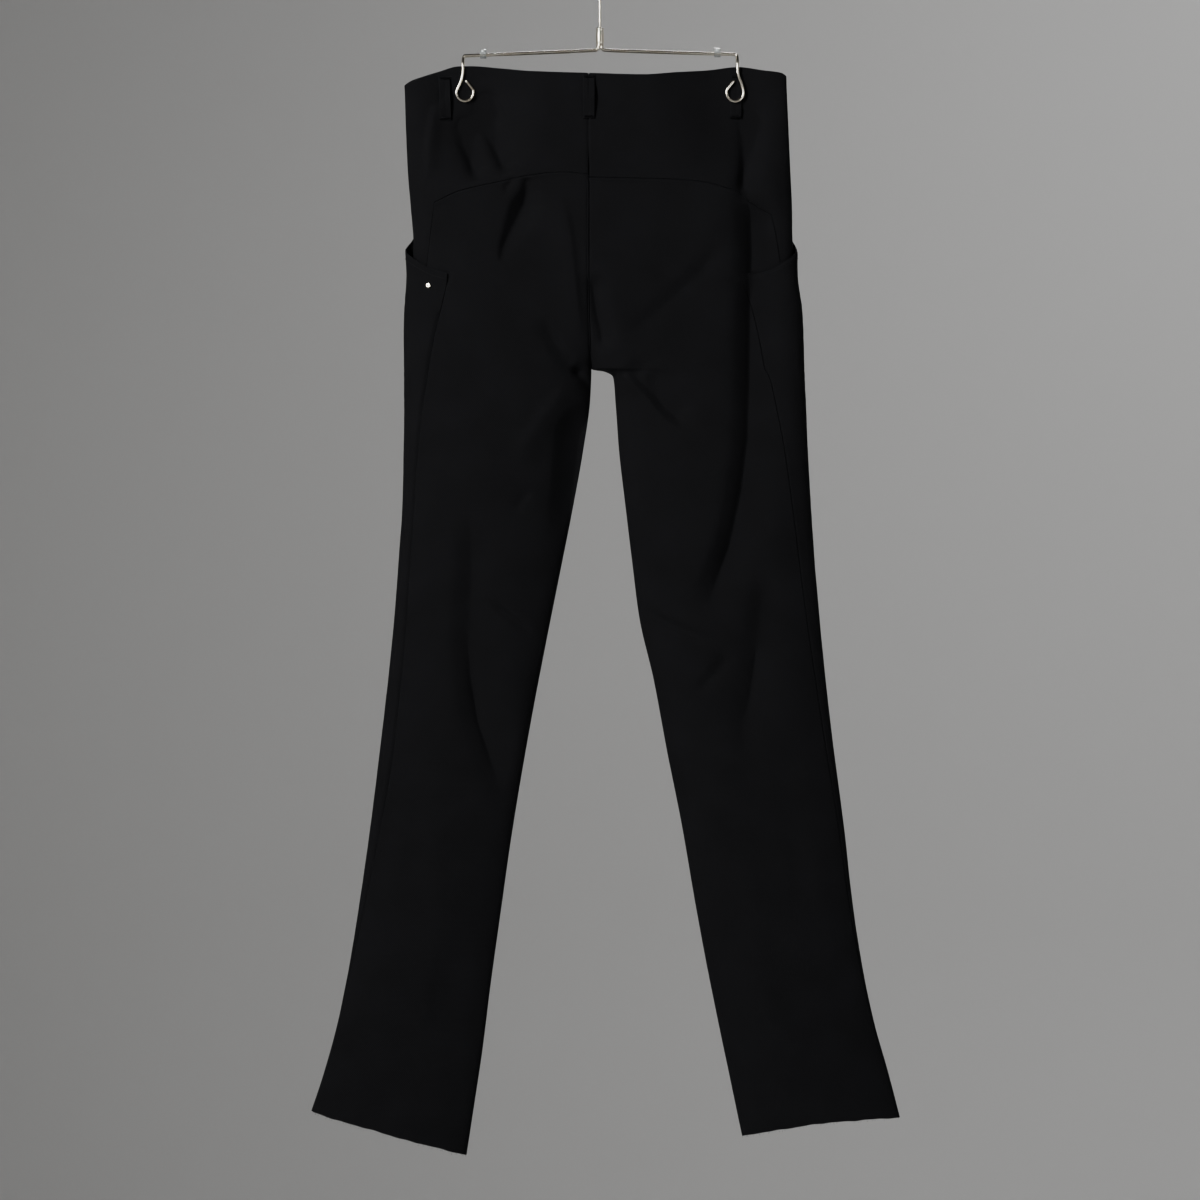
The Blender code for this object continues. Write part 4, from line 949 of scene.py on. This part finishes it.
def makeBeltLoop(name, middle, top, lean, onBack, bow, foot):
    # folded and sewn flat: a groove down its middle, its foot turned under
    half = beltLoop["width"] / 2
    across = np.concatenate([[-half, -half + 0.5, -half + 1.1], np.linspace(-half + 2, half - 2, 9),
                             [half - 1.1, half - 0.5, half]])
    share = np.concatenate([[0, 0.008, 0.02, 0.04], np.linspace(0.06, 0.94, 34),
                            [0.96, 0.98, 0.992, 1.0]])
    downs = top + np.tile(share[:, None] * beltLoop["length"], (1, len(across)))
    xs = middle + across[None, :] + lean * (downs - top)
    lift = np.tile(loopLift(share, bow, foot)[:, None], (1, len(across)))
    edge = np.minimum(1, (half - np.abs(across)) / beltLoop["corner"])
    crown = beltLoop["crown"] * (1 - np.sqrt(np.maximum(0, 1 - (1 - edge)**2)))
    groove = beltLoop["groove"] * np.exp(-(across / beltLoop["grooveWidth"])**2)
    fromTurn = (share - beltLoop["turnedAt"]) * beltLoop["length"] / beltLoop["turnedWidth"]
    turned = beltLoop["turned"] * np.exp(-fromTurn**2)
    base, facing = wallPoint(xs, downs, onBack, lift)
    height = (beltLoop["thick"] - crown - groove)[None, :] + turned[:, None]
    made = shell("cloth_" + name, base + facing * height[..., None], facing,
                 clothLie(base, middle), clothAcross, thick=beltLoop["wall"],
                 rim=beltLoop["rim"], gap=0.0)
    return dress(made, name)


beltLoops = [makeBeltLoop(*row) for row in loopRows]

allowance = dict(half=8.0, top=0.8, curve=(225, 228), end=316.3, under=0.9, thick=0.7, rim=0.2,
                 narrowed=0.75)


def makeAllowance(word, onBack):  # the seam allowances pressed open inside a centre seam
    half, wall = allowance["half"], -1.0 if onBack else 1.0
    across = np.array([-half, -half + 0.6, -half * 0.6, -3.0, -1.0, -0.2, 0.2, 1.0, 3.0, half * 0.6,
                       half - 0.6, half])
    straight, curved = allowance["curve"]
    down = np.concatenate([np.linspace(allowance["top"], straight, 74),
                           np.linspace(curved, allowance["end"], 60)])
    narrowed = 1 - allowance["narrowed"] * ease(straight, allowance["end"], down)
    points = np.zeros((len(down), len(across), 3))
    for k, offset in enumerate(across):
        leg = legs[0 if offset < 0 else 1]
        x = leg.ring("xIn", down) + offset * narrowed
        points[:, k] = leg.surface(*leg.place(x, down, onBack))
    points[..., 1] -= wall * (trousers["clothThickness"] + allowance["under"])
    facing = np.zeros(points.shape)
    facing[..., 1] = wall
    return dress(shell("cloth_seam_allowance_" + word, points, facing, clothLie(points),
                       thick=allowance["thick"], rim=allowance["rim"], gap=0.0))


allowances = [makeAllowance("back", True), makeAllowance("front", False)]

fly = dict(top=4.0, inset=1.0, width=36.0, length=158.0, thick=1.4, off=0.45, rounded=0.2,
           narrowed=0.75, rolled=0.35, rolledWidth=0.9, wall=1.2, rim=0.3)


def flyEdge(share):  # how wide the placket still is, where its foot rounds off
    rounding = np.maximum(0.0, (share - 1) / fly["rounded"] + 1)
    return 1 - fly["narrowed"] * rounding**2


def makeFly():
    near = np.array(cutting["near"][:5])
    share = np.concatenate([near / fly["length"], np.linspace(0.03, 0.97, 56),
                            1 - near[::-1] / fly["length"]])
    across = np.concatenate([near / fly["width"], np.linspace(0.13, 0.87, 12),
                             1 - near[::-1] / fly["width"]])
    downs = fly["top"] + np.tile(share[:, None] * fly["length"], (1, len(across)))
    xs = trousers["centreX"] + fly["inset"] + across * fly["width"] * flyEdge(share)[:, None]
    base, facing = wallPoint(xs, downs, False, fly["off"])
    fromEdge = np.minimum(across, 1 - across) * fly["width"]
    height = fly["thick"] - fly["rolled"] * np.exp(-(fromEdge / fly["rolledWidth"])**2)
    outer = base + facing * np.tile(height, (len(share), 1))[..., None]
    made = shell("cloth_fly_placket", outer, facing, clothLie(base), thick=fly["wall"],
                 rim=fly["rim"], gap=0.0)
    return dress(made, "fly_placket")


flyPlacket = makeFly()
print("belt loops and placket laid on")


# ---- what repeats: stitches, and the threads of the raw hems ----
def buildGroup(name, sockets):  # an empty node group with named inputs
    group = bpy.data.node_groups.new(name, "GeometryNodeTree")
    group.interface.new_socket(name="Geometry", in_out="INPUT", socket_type="NodeSocketGeometry")
    for socket, kind in sockets:
        group.interface.new_socket(name=socket, in_out="INPUT", socket_type="NodeSocket" + kind)
    group.interface.new_socket(name="Geometry", in_out="OUTPUT", socket_type="NodeSocketGeometry")
    return group, addNode(group, "NodeGroupInput"), addNode(group, "NodeGroupOutput")


def spread(group, given, output, instance, turn, **size):
    # instances on the points of the lines, made real, with their material
    path = addNode(group, "GeometryNodeMeshToCurve", {}, {"Mesh": (given, "Geometry")})
    points = addNode(group, "GeometryNodeResampleCurve", {},
                     {"Curve": (path, "Curve"), "Length": (given, "Pitch")}, mode="LENGTH")
    placed = addNode(group, "GeometryNodeInstanceOnPoints", {},
                     {"Points": (points, "Curve"), "Instance": instance,
                      "Rotation": (turn, "Rotation"), **size})
    real = addNode(group, "GeometryNodeRealizeInstances", {}, {"Geometry": (placed, "Instances")})
    coated = addNode(group, "GeometryNodeSetMaterial", {},
                     {"Geometry": (real, "Geometry"), "Material": (given, "Material")})
    group.links.new(coated.outputs["Geometry"], output.inputs["Geometry"])


def wayOut(group):
    return addNode(group, "GeometryNodeInputNamedAttribute", {"Name": "outward"},
                   data_type="FLOAT_VECTOR"), "Attribute"


def turned(group, first, second, axes):
    return addNode(group, "FunctionNodeAxesToRotation", {},
                   {"Primary Axis": first, "Secondary Axis": second}, primary_axis=axes[0],
                   secondary_axis=axes[1])


def stitchGroup():  # one row of lockstitch: short rounded stitches end to end
    group, given, output = buildGroup("stitches", (
        ("Pitch", "Float"), ("Length", "Float"), ("Thickness", "Float"), ("Material", "Material")))
    ball = addNode(group, "GeometryNodeMeshUVSphere", {"Segments": 8, "Rings": 6, "Radius": 0.5})
    scale = addNode(group, "ShaderNodeCombineXYZ", {},
                    {"X": (given, "Thickness"), "Y": (given, "Length"), "Z": (given, "Thickness")})
    stitch = addNode(group, "GeometryNodeTransform", {},
                     {"Geometry": (ball, "Mesh"), "Scale": (scale, "Vector")})
    heading = addNode(group, "GeometryNodeInputTangent")
    turn = turned(group, (heading, "Tangent"), wayOut(group), "YZ")
    spread(group, given, output, (stitch, "Geometry"), turn)
    return group


def frayGroup():  # loose ends of yarn along a cut edge
    group, given, output = buildGroup("fray", (
        ("Pitch", "Float"), ("Length", "Float"), ("Thickness", "Float"), ("Seed", "Int"),
        ("Material", "Material")))
    end = addNode(group, "ShaderNodeCombineXYZ", {"X": 0.0, "Y": 0.0}, {"Z": (given, "Length")})
    lean = addNode(group, "ShaderNodeCombineXYZ", {"Y": 0.0},
                   {"X": (given, "Thickness"), "Z": (given, "Length")})
    middle = addNode(group, "ShaderNodeVectorMath", {1: (3.0, 1.0, 0.5)}, {0: (lean, "Vector")},
                     operation="MULTIPLY")
    yarn = addNode(group, "GeometryNodeCurveQuadraticBezier",
                   {"Resolution": 4, "Start": (0, 0, 0)},
                   {"Middle": (middle, "Vector"), "End": (end, "Vector")})
    ring = addNode(group, "GeometryNodeCurvePrimitiveCircle", {"Resolution": 4},
                   {"Radius": (given, "Thickness")})
    loose = addNode(group, "GeometryNodeCurveToMesh", {"Fill Caps": True},
                    {"Curve": (yarn, "Curve"), "Profile Curve": (ring, "Curve")})
    aside = addNode(group, "FunctionNodeRandomValue",
                    {"Min": (-0.75, -0.75, -0.2), "Max": (0.75, 0.75, 0.2)},
                    {"Seed": (given, "Seed")}, data_type="FLOAT_VECTOR")
    heading = addNode(group, "ShaderNodeVectorMath", {},
                      {0: wayOut(group), 1: (aside, 0)}, operation="ADD")
    turn = turned(group, (heading, "Vector"), (aside, 0), "ZX")
    size = addNode(group, "FunctionNodeRandomValue", {2: 0.25, 3: 1.0},
                   {"Seed": (given, "Seed")}, data_type="FLOAT")
    spread(group, given, output, (loose, "Mesh"), turn, Scale=(size, 1))
    return group


def layAlong(name, lines, group, pitch, length, thickness):  # lines of points and of the way out
    points = np.concatenate([line for line, _ in lines]) * mm
    outward = np.concatenate([facing for _, facing in lines])
    edges, start = [], 0
    for line, _ in lines:
        edges += [(start + k, start + k + 1) for k in range(len(line) - 1)]
        start += len(line)
    mesh = bpy.data.meshes.new(name)
    mesh.from_pydata(points.tolist(), edges, [])
    layer = mesh.attributes.new("outward", "FLOAT_VECTOR", "POINT")
    layer.data.foreach_set("vector", outward.astype(np.float32).ravel())
    made = newObject(name, mesh, threadMaterial)
    modifier = made.modifiers.new(name, "NODES")
    modifier.node_group = group
    values = {"Pitch": pitch * mm, "Length": length * mm, "Thickness": thickness * mm,
              "Seed": fray["seed"], "Material": threadMaterial}
    for item in group.interface.items_tree:
        if item.in_out == "INPUT" and item.name in values:
            modifier[item.identifier] = values[item.name]
    applyModifiers(made, name)
    made.data.shade_smooth()
    if "outward" in made.data.attributes:
        made.data.attributes.remove(made.data.attributes["outward"])
    print(name, "has", len(made.data.polygons), "faces")
    return dress(made)


def applyModifiers(made, name):
    graph = bpy.context.evaluated_depsgraph_get()
    real = bpy.data.meshes.new_from_object(made.evaluated_get(graph))
    made.modifiers.clear()
    made.data = real
    real.name = name


sewing = dict(pitch=3.1, length=2.7, thickness=0.42, inset=6.0, flyInset=3.0, flyOff=0.05,
              mouthOff=0.08, mouthEnds=(0.012, -0.004))
tack = dict(pitch=0.55, length=2.2, thickness=0.34, shares=(0.045, 0.955), half=4.6, count=24,
            off=0.1)
fray = dict(pitch=1.9, length=3.4, thickness=0.11, seed=7, inside=0.5)


def mouthStitches(leg):  # one row beside the pocket mouth, seen on the front leg
    rounds = leg.mouthRounds()
    even = np.linspace(rounds[0] + sewing["mouthEnds"][0],
                       rounds[mouthCorner] + sewing["mouthEnds"][1], 260)
    edgeDrop = leg.mouth("drop", even)

    def at(measure, drop):
        return leg.surface(leg.roundOf(measure, drop), drop)

    edge, step = at(even, edgeDrop), 0.004
    perEven = (at(even + step, edgeDrop) - edge) / step
    perDrop = at(even, edgeDrop + 1.0) - edge
    run = unit(np.gradient(edge, axis=0))
    inward = unit(perDrop - (perDrop * run).sum(axis=1, keepdims=True) * run)
    # the move inward, as so much of the even measure and so much drop
    aa, ab, bb, ai, bi = ((a * b).sum(1) for a, b in (
        (perEven, perEven), (perEven, perDrop), (perDrop, perDrop), (perEven, inward),
        (perDrop, inward)))
    size = aa * bb - ab * ab
    measure = even + sewing["inset"] * (ai * bb - bi * ab) / size
    drop = edgeDrop + sewing["inset"] * (bi * aa - ai * ab) / size
    facing = leg.normal(leg.roundOf(measure, drop), drop)
    raised, width = rolls["mouth"][leg.index][:2]
    lip = raised * math.exp(-(sewing["inset"] / width)**2)
    lift = leg.lifted(measure, drop) + lip + sewing["mouthOff"]
    return at(measure, drop) + facing * lift[:, None], facing


def flyStitches():  # a row inside the free edge of the placket, curving in at its foot
    share = np.linspace(0.01, 0.97, 140)
    across = flyEdge(share) * fly["width"] - sewing["flyInset"]
    x = trousers["centreX"] + fly["inset"] + across
    return wallPoint(x, fly["top"] + share * fly["length"], False,
                     fly["off"] + fly["thick"] + sewing["flyOff"])


def tackRows():  # bar tacks: stitches side by side across the ends of each belt loop
    rows = []
    for _, middle, top, lean, onBack, bow, foot in loopRows:
        for share in tack["shares"]:
            down = top + share * beltLoop["length"]
            across = np.linspace(-tack["half"], tack["half"], tack["count"])
            lift = loopLift(share, bow, foot) + beltLoop["thick"] + tack["off"]
            rows.append(wallPoint(middle + lean * (down - top) + across,
                                  np.full(tack["count"], down), onBack, lift))
    return rows


def hemLine(leg):
    around = np.linspace(0.01, 1.99, 500)
    base, facing = leg.lay(around, leg.hem)
    line = base - facing * trousers["clothThickness"] / 2
    line[:, 2] += fray["inside"]
    return line, np.tile((0.0, 0.0, -1.0), (len(line), 1))


layAlong("lockstitch_rows", [mouthStitches(leg) for leg in legs] + [flyStitches()], stitchGroup(),
         sewing["pitch"], sewing["length"], sewing["thickness"])
# a tack's stitches lie across the row, so their length is the group's thickness
layAlong("bar_tacks", tackRows(), stitchGroup(), tack["pitch"], tack["thickness"], tack["length"])
layAlong("loose_hem_yarns", [hemLine(leg) for leg in legs], frayGroup(), fray["pitch"],
         fray["length"], fray["thickness"])


# ---- turned and bent pieces ----
def bridge(bm, low, high):  # faces between two rings, either of which may be a single point
    sides = max(len(low), len(high))
    for k in range(sides):
        k2 = (k + 1) % sides
        if len(low) == 1:
            bm.faces.new((low[0], high[k], high[k2]))
        elif len(high) == 1:
            bm.faces.new((low[k], low[k2], high[0]))
        else:
            bm.faces.new((low[k], low[k2], high[k2], high[k]))


def lathe(name, profile, material, sides=48, closed=False):  # (radius, height) turned round Z
    bm = bmesh.new()
    rings = []
    for radius, height in profile:
        if radius < 1e-6:
            rings.append([bm.verts.new((0, 0, height * mm))])
            continue
        rings.append([bm.verts.new((radius * mm * math.cos(math.tau * k / sides),
                                    radius * mm * math.sin(math.tau * k / sides), height * mm))
                      for k in range(sides)])
    for low, high in zip(rings, rings[1:] + rings[:1] * closed):
        bridge(bm, low, high)
    return finishMesh(name, bm, material)


def moveMesh(made, place, axis):  # the mesh's own Z turned to axis, at place, in millimetres
    turn = Vector([float(v) for v in axis]).to_track_quat("Z", "Y").to_matrix().to_4x4()
    made.data.transform(turn)
    made.data.transform(Matrix.Translation([float(v) * mm for v in place]))
    return made


def smoothPath(points, steps):  # Catmull-Rom through the points
    points = np.array(points, float)
    padded = np.vstack([2 * points[0] - points[1], points, 2 * points[-1] - points[-2]])
    out = []
    for a, b, c, d in zip(padded, padded[1:], padded[2:], padded[3:]):
        for t in np.linspace(0, 1, steps, endpoint=False):
            out.append(0.5 * (2 * b + (c - a) * t + (2 * a - 5 * b + 4 * c - d) * t**2
                              + (3 * b - 3 * c + d - a) * t**3))
    out.append(points[-1])
    return np.array(out)


def tube(name, path, radius, material, sides=14):  # a round wire along a path, with domed ends
    run = unit(np.gradient(path, axis=0))
    side = np.cross(run[0], (0, 1, 0) if abs(run[0][1]) < 0.9 else (1, 0, 0))
    rings = []
    for point, heading in zip(path, run):
        side = unit(side - heading * (side @ heading))
        rings.append((point, heading, side, radius))
    dome = [(radius * math.sin(a), radius * math.cos(a))
            for a in map(math.radians, (80, 60, 40, 20))]
    first, last = rings[0], rings[-1]
    rings = ([(first[0] - first[1] * out, first[1], first[2], size) for out, size in dome] + rings
             + [(last[0] + last[1] * out, last[1], last[2], size) for out, size in dome[::-1]])
    bm = bmesh.new()
    made = []
    for point, heading, out, size in rings:
        other = np.cross(heading, out)
        made.append([bm.verts.new((point + size * (out * math.cos(a) + other * math.sin(a))) * mm)
                     for a in (math.tau * k / sides for k in range(sides))])
    for low, high in zip(made, made[1:]):
        bridge(bm, low, high)
    bm.faces.new(made[0])
    bm.faces.new(made[-1])
    return finishMesh(name, bm, material)


hanger = dict(
    wire=3.3, hookWire=2.8, hookRadius=20.0, bowSweep=(205, -42),
    ferruleTop=-90.2, ferruleLength=20.6, ferruleRadius=4.3, seam=0.3,
    armEnd=((-147.6, -120.4), (148.2, -118.9)),       # x, z of each arm's bend down to its clip
    loopMiddle=((-145.7, -160.9), (145.6, -161.4)),   # x, z of each drop-shaped loop
    loopRadius=9.1, loopSweep=(165, 385), pressed=3.6,
    near=1.8, foot=1.8, slopeX=7.0, slopeDrop=3.4, sag=-0.3, armParts=6, tip=(1.9, 12.1),
    # the bend at the arm's end and the wire down from it: beyond the end, below it, and how near
    # to the loop's plane
    corner=((-3.2, 0.0, 0.0), (-0.9, 0.9, 0.02), (0.0, 3.2, 0.15), (0.2, 8.0, 0.75),
            (0.2, 13.0, 1.0), (0.3, 20.0, 1.0), (1.7, 26.0, 1.0), (4.4, 33.0, 1.0)),
    # the ferrule is pressed round the four wires, a rolled lip and two shallow crimps at each end:
    # how far inside its radius, how far from its end
    crimp=((1.1, 0.0), (0.5, 0.15), (0.1, 0.6), (0.0, 1.2), (0.0, 2.2), (0.35, 3.0), (0.4, 3.8),
           (0.05, 4.7), (0.0, 5.6)),
    # the hook's sweep from its bow down to the ferrule: x, z
    sweep=((9.6, -36.6), (4.2, -41.0), (1.2, -46.0), (0.0, -52.0), (0.0, -64.0)),
)
slider = dict(inset=21.5, length=6.6, inner=3.8, outer=4.9, rise=1.9)


def arc(z, radius, start, end, steps):  # round a middle at x 0 and this z, in degrees
    return [(radius * math.cos(a), z + radius * math.sin(a))
            for a in np.radians(np.linspace(start, end, steps))]


def clipPath(side, end, loop):  # one wire, ferrule to clip: x, z, how near to the loop's plane
    foot = hanger["ferruleTop"] - hanger["ferruleLength"] - hanger["seam"]
    slope = (side * hanger["slopeX"], foot - hanger["slopeDrop"])
    path = [(side * hanger["foot"], foot, 0), (side * (hanger["foot"] + 0.2), foot - 1.0, 0),
            (side * hanger["slopeX"] / 2, foot - 2.3, 0), (*slope, 0)]
    for share in np.arange(1, hanger["armParts"]) / hanger["armParts"]:
        path.append((slope[0] + (end[0] - slope[0]) * share, slope[1] + (end[1] - slope[1]) * share
                     + 4 * hanger["sag"] * share * (1 - share), 0))
    path += [(end[0] + side * beyond, end[1] - below, near)
             for beyond, below, near in hanger["corner"]]
    around = arc(0.0, hanger["loopRadius"], *hanger["loopSweep"], 10)
    path += [(loop[0] - side * x, loop[1] + z, 1) for x, z in around]
    path.append((loop[0] - side * hanger["tip"][0], loop[1] + hanger["tip"][1], 1))
    return path


def makeHanger():
    made, sides = [], ((-1, "left"), (1, "right"))
    radius, wire, top = hanger["hookRadius"], hanger["hookWire"], hanger["ferruleTop"]
    bow = arc(wire / 2 - radius, radius, *hanger["bowSweep"], 22)
    sweep = [*bow, *hanger["sweep"], (0.0, top + hanger["seam"])]
    path = smoothPath([(x, 0.0, z) for x, z in sweep], 3)
    made.append((tube("wire_hook", path, wire / 2, steelMaterial), "hanger_hook"))

    r, low = hanger["ferruleRadius"], top - hanger["ferruleLength"]
    profile = [(0, low)] + [(r - inside, low + up) for inside, up in hanger["crimp"]]
    profile += [(r - inside, top - up) for inside, up in hanger["crimp"][::-1]] + [(0, top)]
    made.append((lathe("turned_ferrule", profile, steelMaterial), "hanger_ferrule"))

    near = hanger["near"]
    for index, (side, which) in enumerate(sides):
        shape = clipPath(side, hanger["armEnd"][index], hanger["loopMiddle"][index])
        for wall, word in ((-1, "back"), (1, "front")):
            pressed = hanger["pressed"] + hanger["seam"] + hanger["wire"] / 2
            if index == 1 and wall < 0:  # this loop lies on a belt loop
                pressed += beltLoop["thick"] + hanger["seam"]
            path = smoothPath([(x, wall * (near + (pressed - near) * share), z)
                               for x, z, share in shape], 5)
            name = "%s_%s" % (word, which)
            made.append((tube("wire_clip_" + name, path, hanger["wire"] / 2, steelMaterial),
                         "hanger_wire_" + name))

    half, inner, outer = slider["length"] / 2, slider["inner"], slider["outer"]
    profile = [(inner + 0.15, -half), (inner, -half + 0.2), (inner, half - 0.2),
               (inner + 0.15, half), (outer - 0.35, half), (outer - 0.1, half - 0.12),
               (outer, half - 0.4), (outer, -half + 0.4), (outer - 0.1, -half + 0.12),
               (outer - 0.35, -half)]
    for (side, which), (endX, endZ) in zip(sides, hanger["armEnd"]):
        sleeve = lathe("sleeve_" + which, profile, plasticMaterial, closed=True)
        moveMesh(sleeve, (endX - side * slider["inset"], 0.0, endZ + slider["rise"]), (1, 0, 0))
        made.append((sleeve, "hanger_slider_" + which))
    for piece, node in made:
        dress(piece, node)


makeHanger()
print("hanger bent and turned")

button = dict(inset=19.0, drop=20.0, radius=8.5, thick=3.0, gap=0.35, holes=1.7, holeRadius=0.9,
              thread=0.27, threadApart=0.28, threadLow=0.6, threadHigh=2.25)
rivet = dict(x=-183.6, drop=229.0, radius=2.8, thick=1.4, gap=0.65)


def holeSpots():
    return [np.array((math.cos(angle), math.sin(angle))) * button["holes"]
            for angle in (math.tau * (k + 0.5) / 4 for k in range(4))]


def joinPieces(name, made):  # several meshes of one material as one
    bm = bmesh.new()
    for piece in made:
        bm.from_mesh(piece.data)
    material = made[0].data.materials[0]
    for piece in made:
        bpy.data.objects.remove(piece)
    return finishMesh(name, bm, material)


def makeButton():  # a turned rim, a dished middle and four holes
    r, t = button["radius"], button["thick"]
    profile = [(0, 0), (r - 1.2, 0), (r - 0.4, 0.35), (r, 1.1), (r - 0.1, t - 0.7),
               (r - 0.7, t - 0.1), (r - 1.4, t), (r - 2.1, t - 0.35), (r - 2.9, t - 0.95),
               (r - 4.0, t - 1.15), (0, t - 1.2)]
    disc = lathe("horn_button", profile, hornMaterial, sides=64)
    bm = bmesh.new()
    for x, y in holeSpots():
        bmesh.ops.create_cone(bm, cap_ends=True, segments=20, radius1=button["holeRadius"] * mm,
                              radius2=button["holeRadius"] * mm, depth=8 * mm,
                              matrix=Matrix.Translation((x * mm, y * mm, t / 2 * mm)))
    mesh = bpy.data.meshes.new("drill")
    bm.to_mesh(mesh)
    bm.free()
    drill = newObject("drill", mesh, hornMaterial)
    holes = disc.modifiers.new("holes", "BOOLEAN")
    holes.object, holes.operation, holes.solver = drill, "DIFFERENCE", "EXACT"
    applyModifiers(disc, "horn_button")
    bpy.data.objects.remove(drill)
    smoothed(disc.data, 35)
    return disc


def makeButtonThread():  # two crossed stitches through the holes, of two strands each
    spots, strands = holeSpots(), []
    for start in (0, 1):
        ends = [spots[k] * 1.05 for k in (start, start + 2)]
        for shift in (-button["threadApart"], button["threadApart"]):
            across = np.array((ends[1][1] - ends[0][1], ends[0][0] - ends[1][0]))
            across = across / np.linalg.norm(across) * shift
            low, high = button["threadLow"], button["threadHigh"] + 0.12 * start
            path = [(*(ends[0] + across), z) for z in (low, 1.7)]
            path += [(*(end * 0.6 + across), high) for end in ends]
            path += [(*(ends[1] + across), z) for z in (1.7, low)]
            strands.append(tube("strand", smoothPath(path, 4), button["thread"], threadMaterial,
                                sides=8))
    return joinPieces("button_thread", strands)


def makeRivet():
    r, t = rivet["radius"], rivet["thick"]
    profile = [(0, 0), (r - 0.3, 0), (r, 0.25), (r, 0.55), (r - 0.35, 0.95), (r - 1.0, 1.2),
               (r - 1.5, 1.05), (r - 1.9, 1.15), (r - 2.4, t), (0, t)]
    made = lathe("domed_rivet", profile, steelMaterial, sides=40)
    leg = legs[0]
    around, drop = leg.place(np.array([rivet["x"]]), np.array([rivet["drop"]]), True)
    base, facing = leg.lay(around, drop)
    lift = leg.lifted(leg.evenOf(around, drop), drop) + rivet["gap"]
    dress(moveMesh(made, (base + facing * lift)[0], facing[0]), "pocket_rivet")


buttonPlace = wallPoint(trousers["centreX"] + button["inset"], button["drop"], False,
                        fly["off"] + fly["thick"] + button["gap"])
dress(moveMesh(makeButton(), *buttonPlace), "waist_button")
dress(moveMesh(makeButtonThread(), *buttonPlace))
makeRivet()
print("button, its thread and the rivet set")


# ---- staging ----
stage = dict(floor=-3300.0, radius=7000.0, cove=1600.0, high=4200.0, paper="CDCDCC",
             shade="C9C8C7", world=0.024)
# a tall soft box high on the left, as in the photo, a weak one low on the right, a narrow strip
# that shows in the wire, one on the wall behind, one for the side that faces it and two on the
# walls on this side: name, place, what it points at, width and height, watts, opening in degrees
lamps = (
    ("key", (-3.7, -4.7, 1.7), (1.0, 1.5, -0.45), (1.2, 2.8), 64.0, 62),
    ("fill", (2.5, -4.3, -1.25), (0.1, 0, -1.05), (1.2, 0.8), 4.6, 70),
    ("edge", (3.3, -4.3, 0.1), (0, 0, -0.75), (0.3, 2.8), 4.2, 100),
    ("wash", (3.7, 3.4, 2.2), (1.0, 7.0, 1.1), (0.6, 0.6), 62.0, 150),
    ("rear", (0.8, 5.4, 3.0), (0, 0, -0.8), (2.4, 0.8), 70.0, 60),
    ("wallLeft", (-1.5, -0.6, 3.8), (-7, -0.8, -0.5), (1.2, 1.2), 66.0, 115),
    ("wallRight", (1.5, -0.6, 3.8), (7, -0.8, -0.5), (1.2, 1.2), 66.0, 115),
)
camera = dict(place=(0.0, -3.6, -0.708), lens=100.0, sensor=36.0)


def makePaper():  # a seamless paper sweep: a pale floor that rises into a wall all round
    material, tree, shader = newMaterial("matt grey studio paper", {"Roughness": 0.95})
    tint(tree, shader, noise(tree, 260.0, 3.0), ((0.0, stage["shade"]), (1.0, stage["paper"])))
    low, wide, cove = stage["floor"], stage["radius"], stage["cove"]
    profile = [(0, low), (wide / 2, low)]
    profile += [(wide - cove + cove * math.sin(a), low + cove - cove * math.cos(a))
                for a in np.radians(np.linspace(0, 90, 19))]
    sweep = lathe("paper_sweep", profile + [(wide, stage["high"])], material, sides=128)


def addToScene(name, data, place):
    made = bpy.data.objects.new(name, data)
    bpy.context.scene.collection.objects.link(made)
    made.location = place
    return made


def areaLight(name, place, target, size, watts, opening):
    lamp = bpy.data.lights.new(name, "AREA")
    lamp.energy, lamp.shape = watts, "RECTANGLE"
    lamp.size, lamp.size_y = size
    lamp.spread = math.radians(opening)
    made = addToScene(name, lamp, place)
    made.rotation_mode = "QUATERNION"
    made.rotation_quaternion = (Vector(target) - Vector(place)).to_track_quat("-Z", "Y")


def makeLight():
    world = bpy.data.worlds.new("soft studio")
    bpy.context.scene.world = world
    world.use_nodes = True
    back = world.node_tree.nodes["Background"]
    back.inputs["Color"].default_value = hexColour("F2F4F7")
    back.inputs["Strength"].default_value = stage["world"]
    for row in lamps:
        areaLight(*row)


def makeCamera():
    shot = bpy.data.cameras.new("camera")
    shot.lens, shot.sensor_width = camera["lens"], camera["sensor"]
    made = addToScene("camera", shot, camera["place"])
    made.rotation_euler = (math.pi / 2, 0.0, 0.0)
    bpy.context.scene.camera = made


makePaper()
makeLight()
makeCamera()
print("staged")
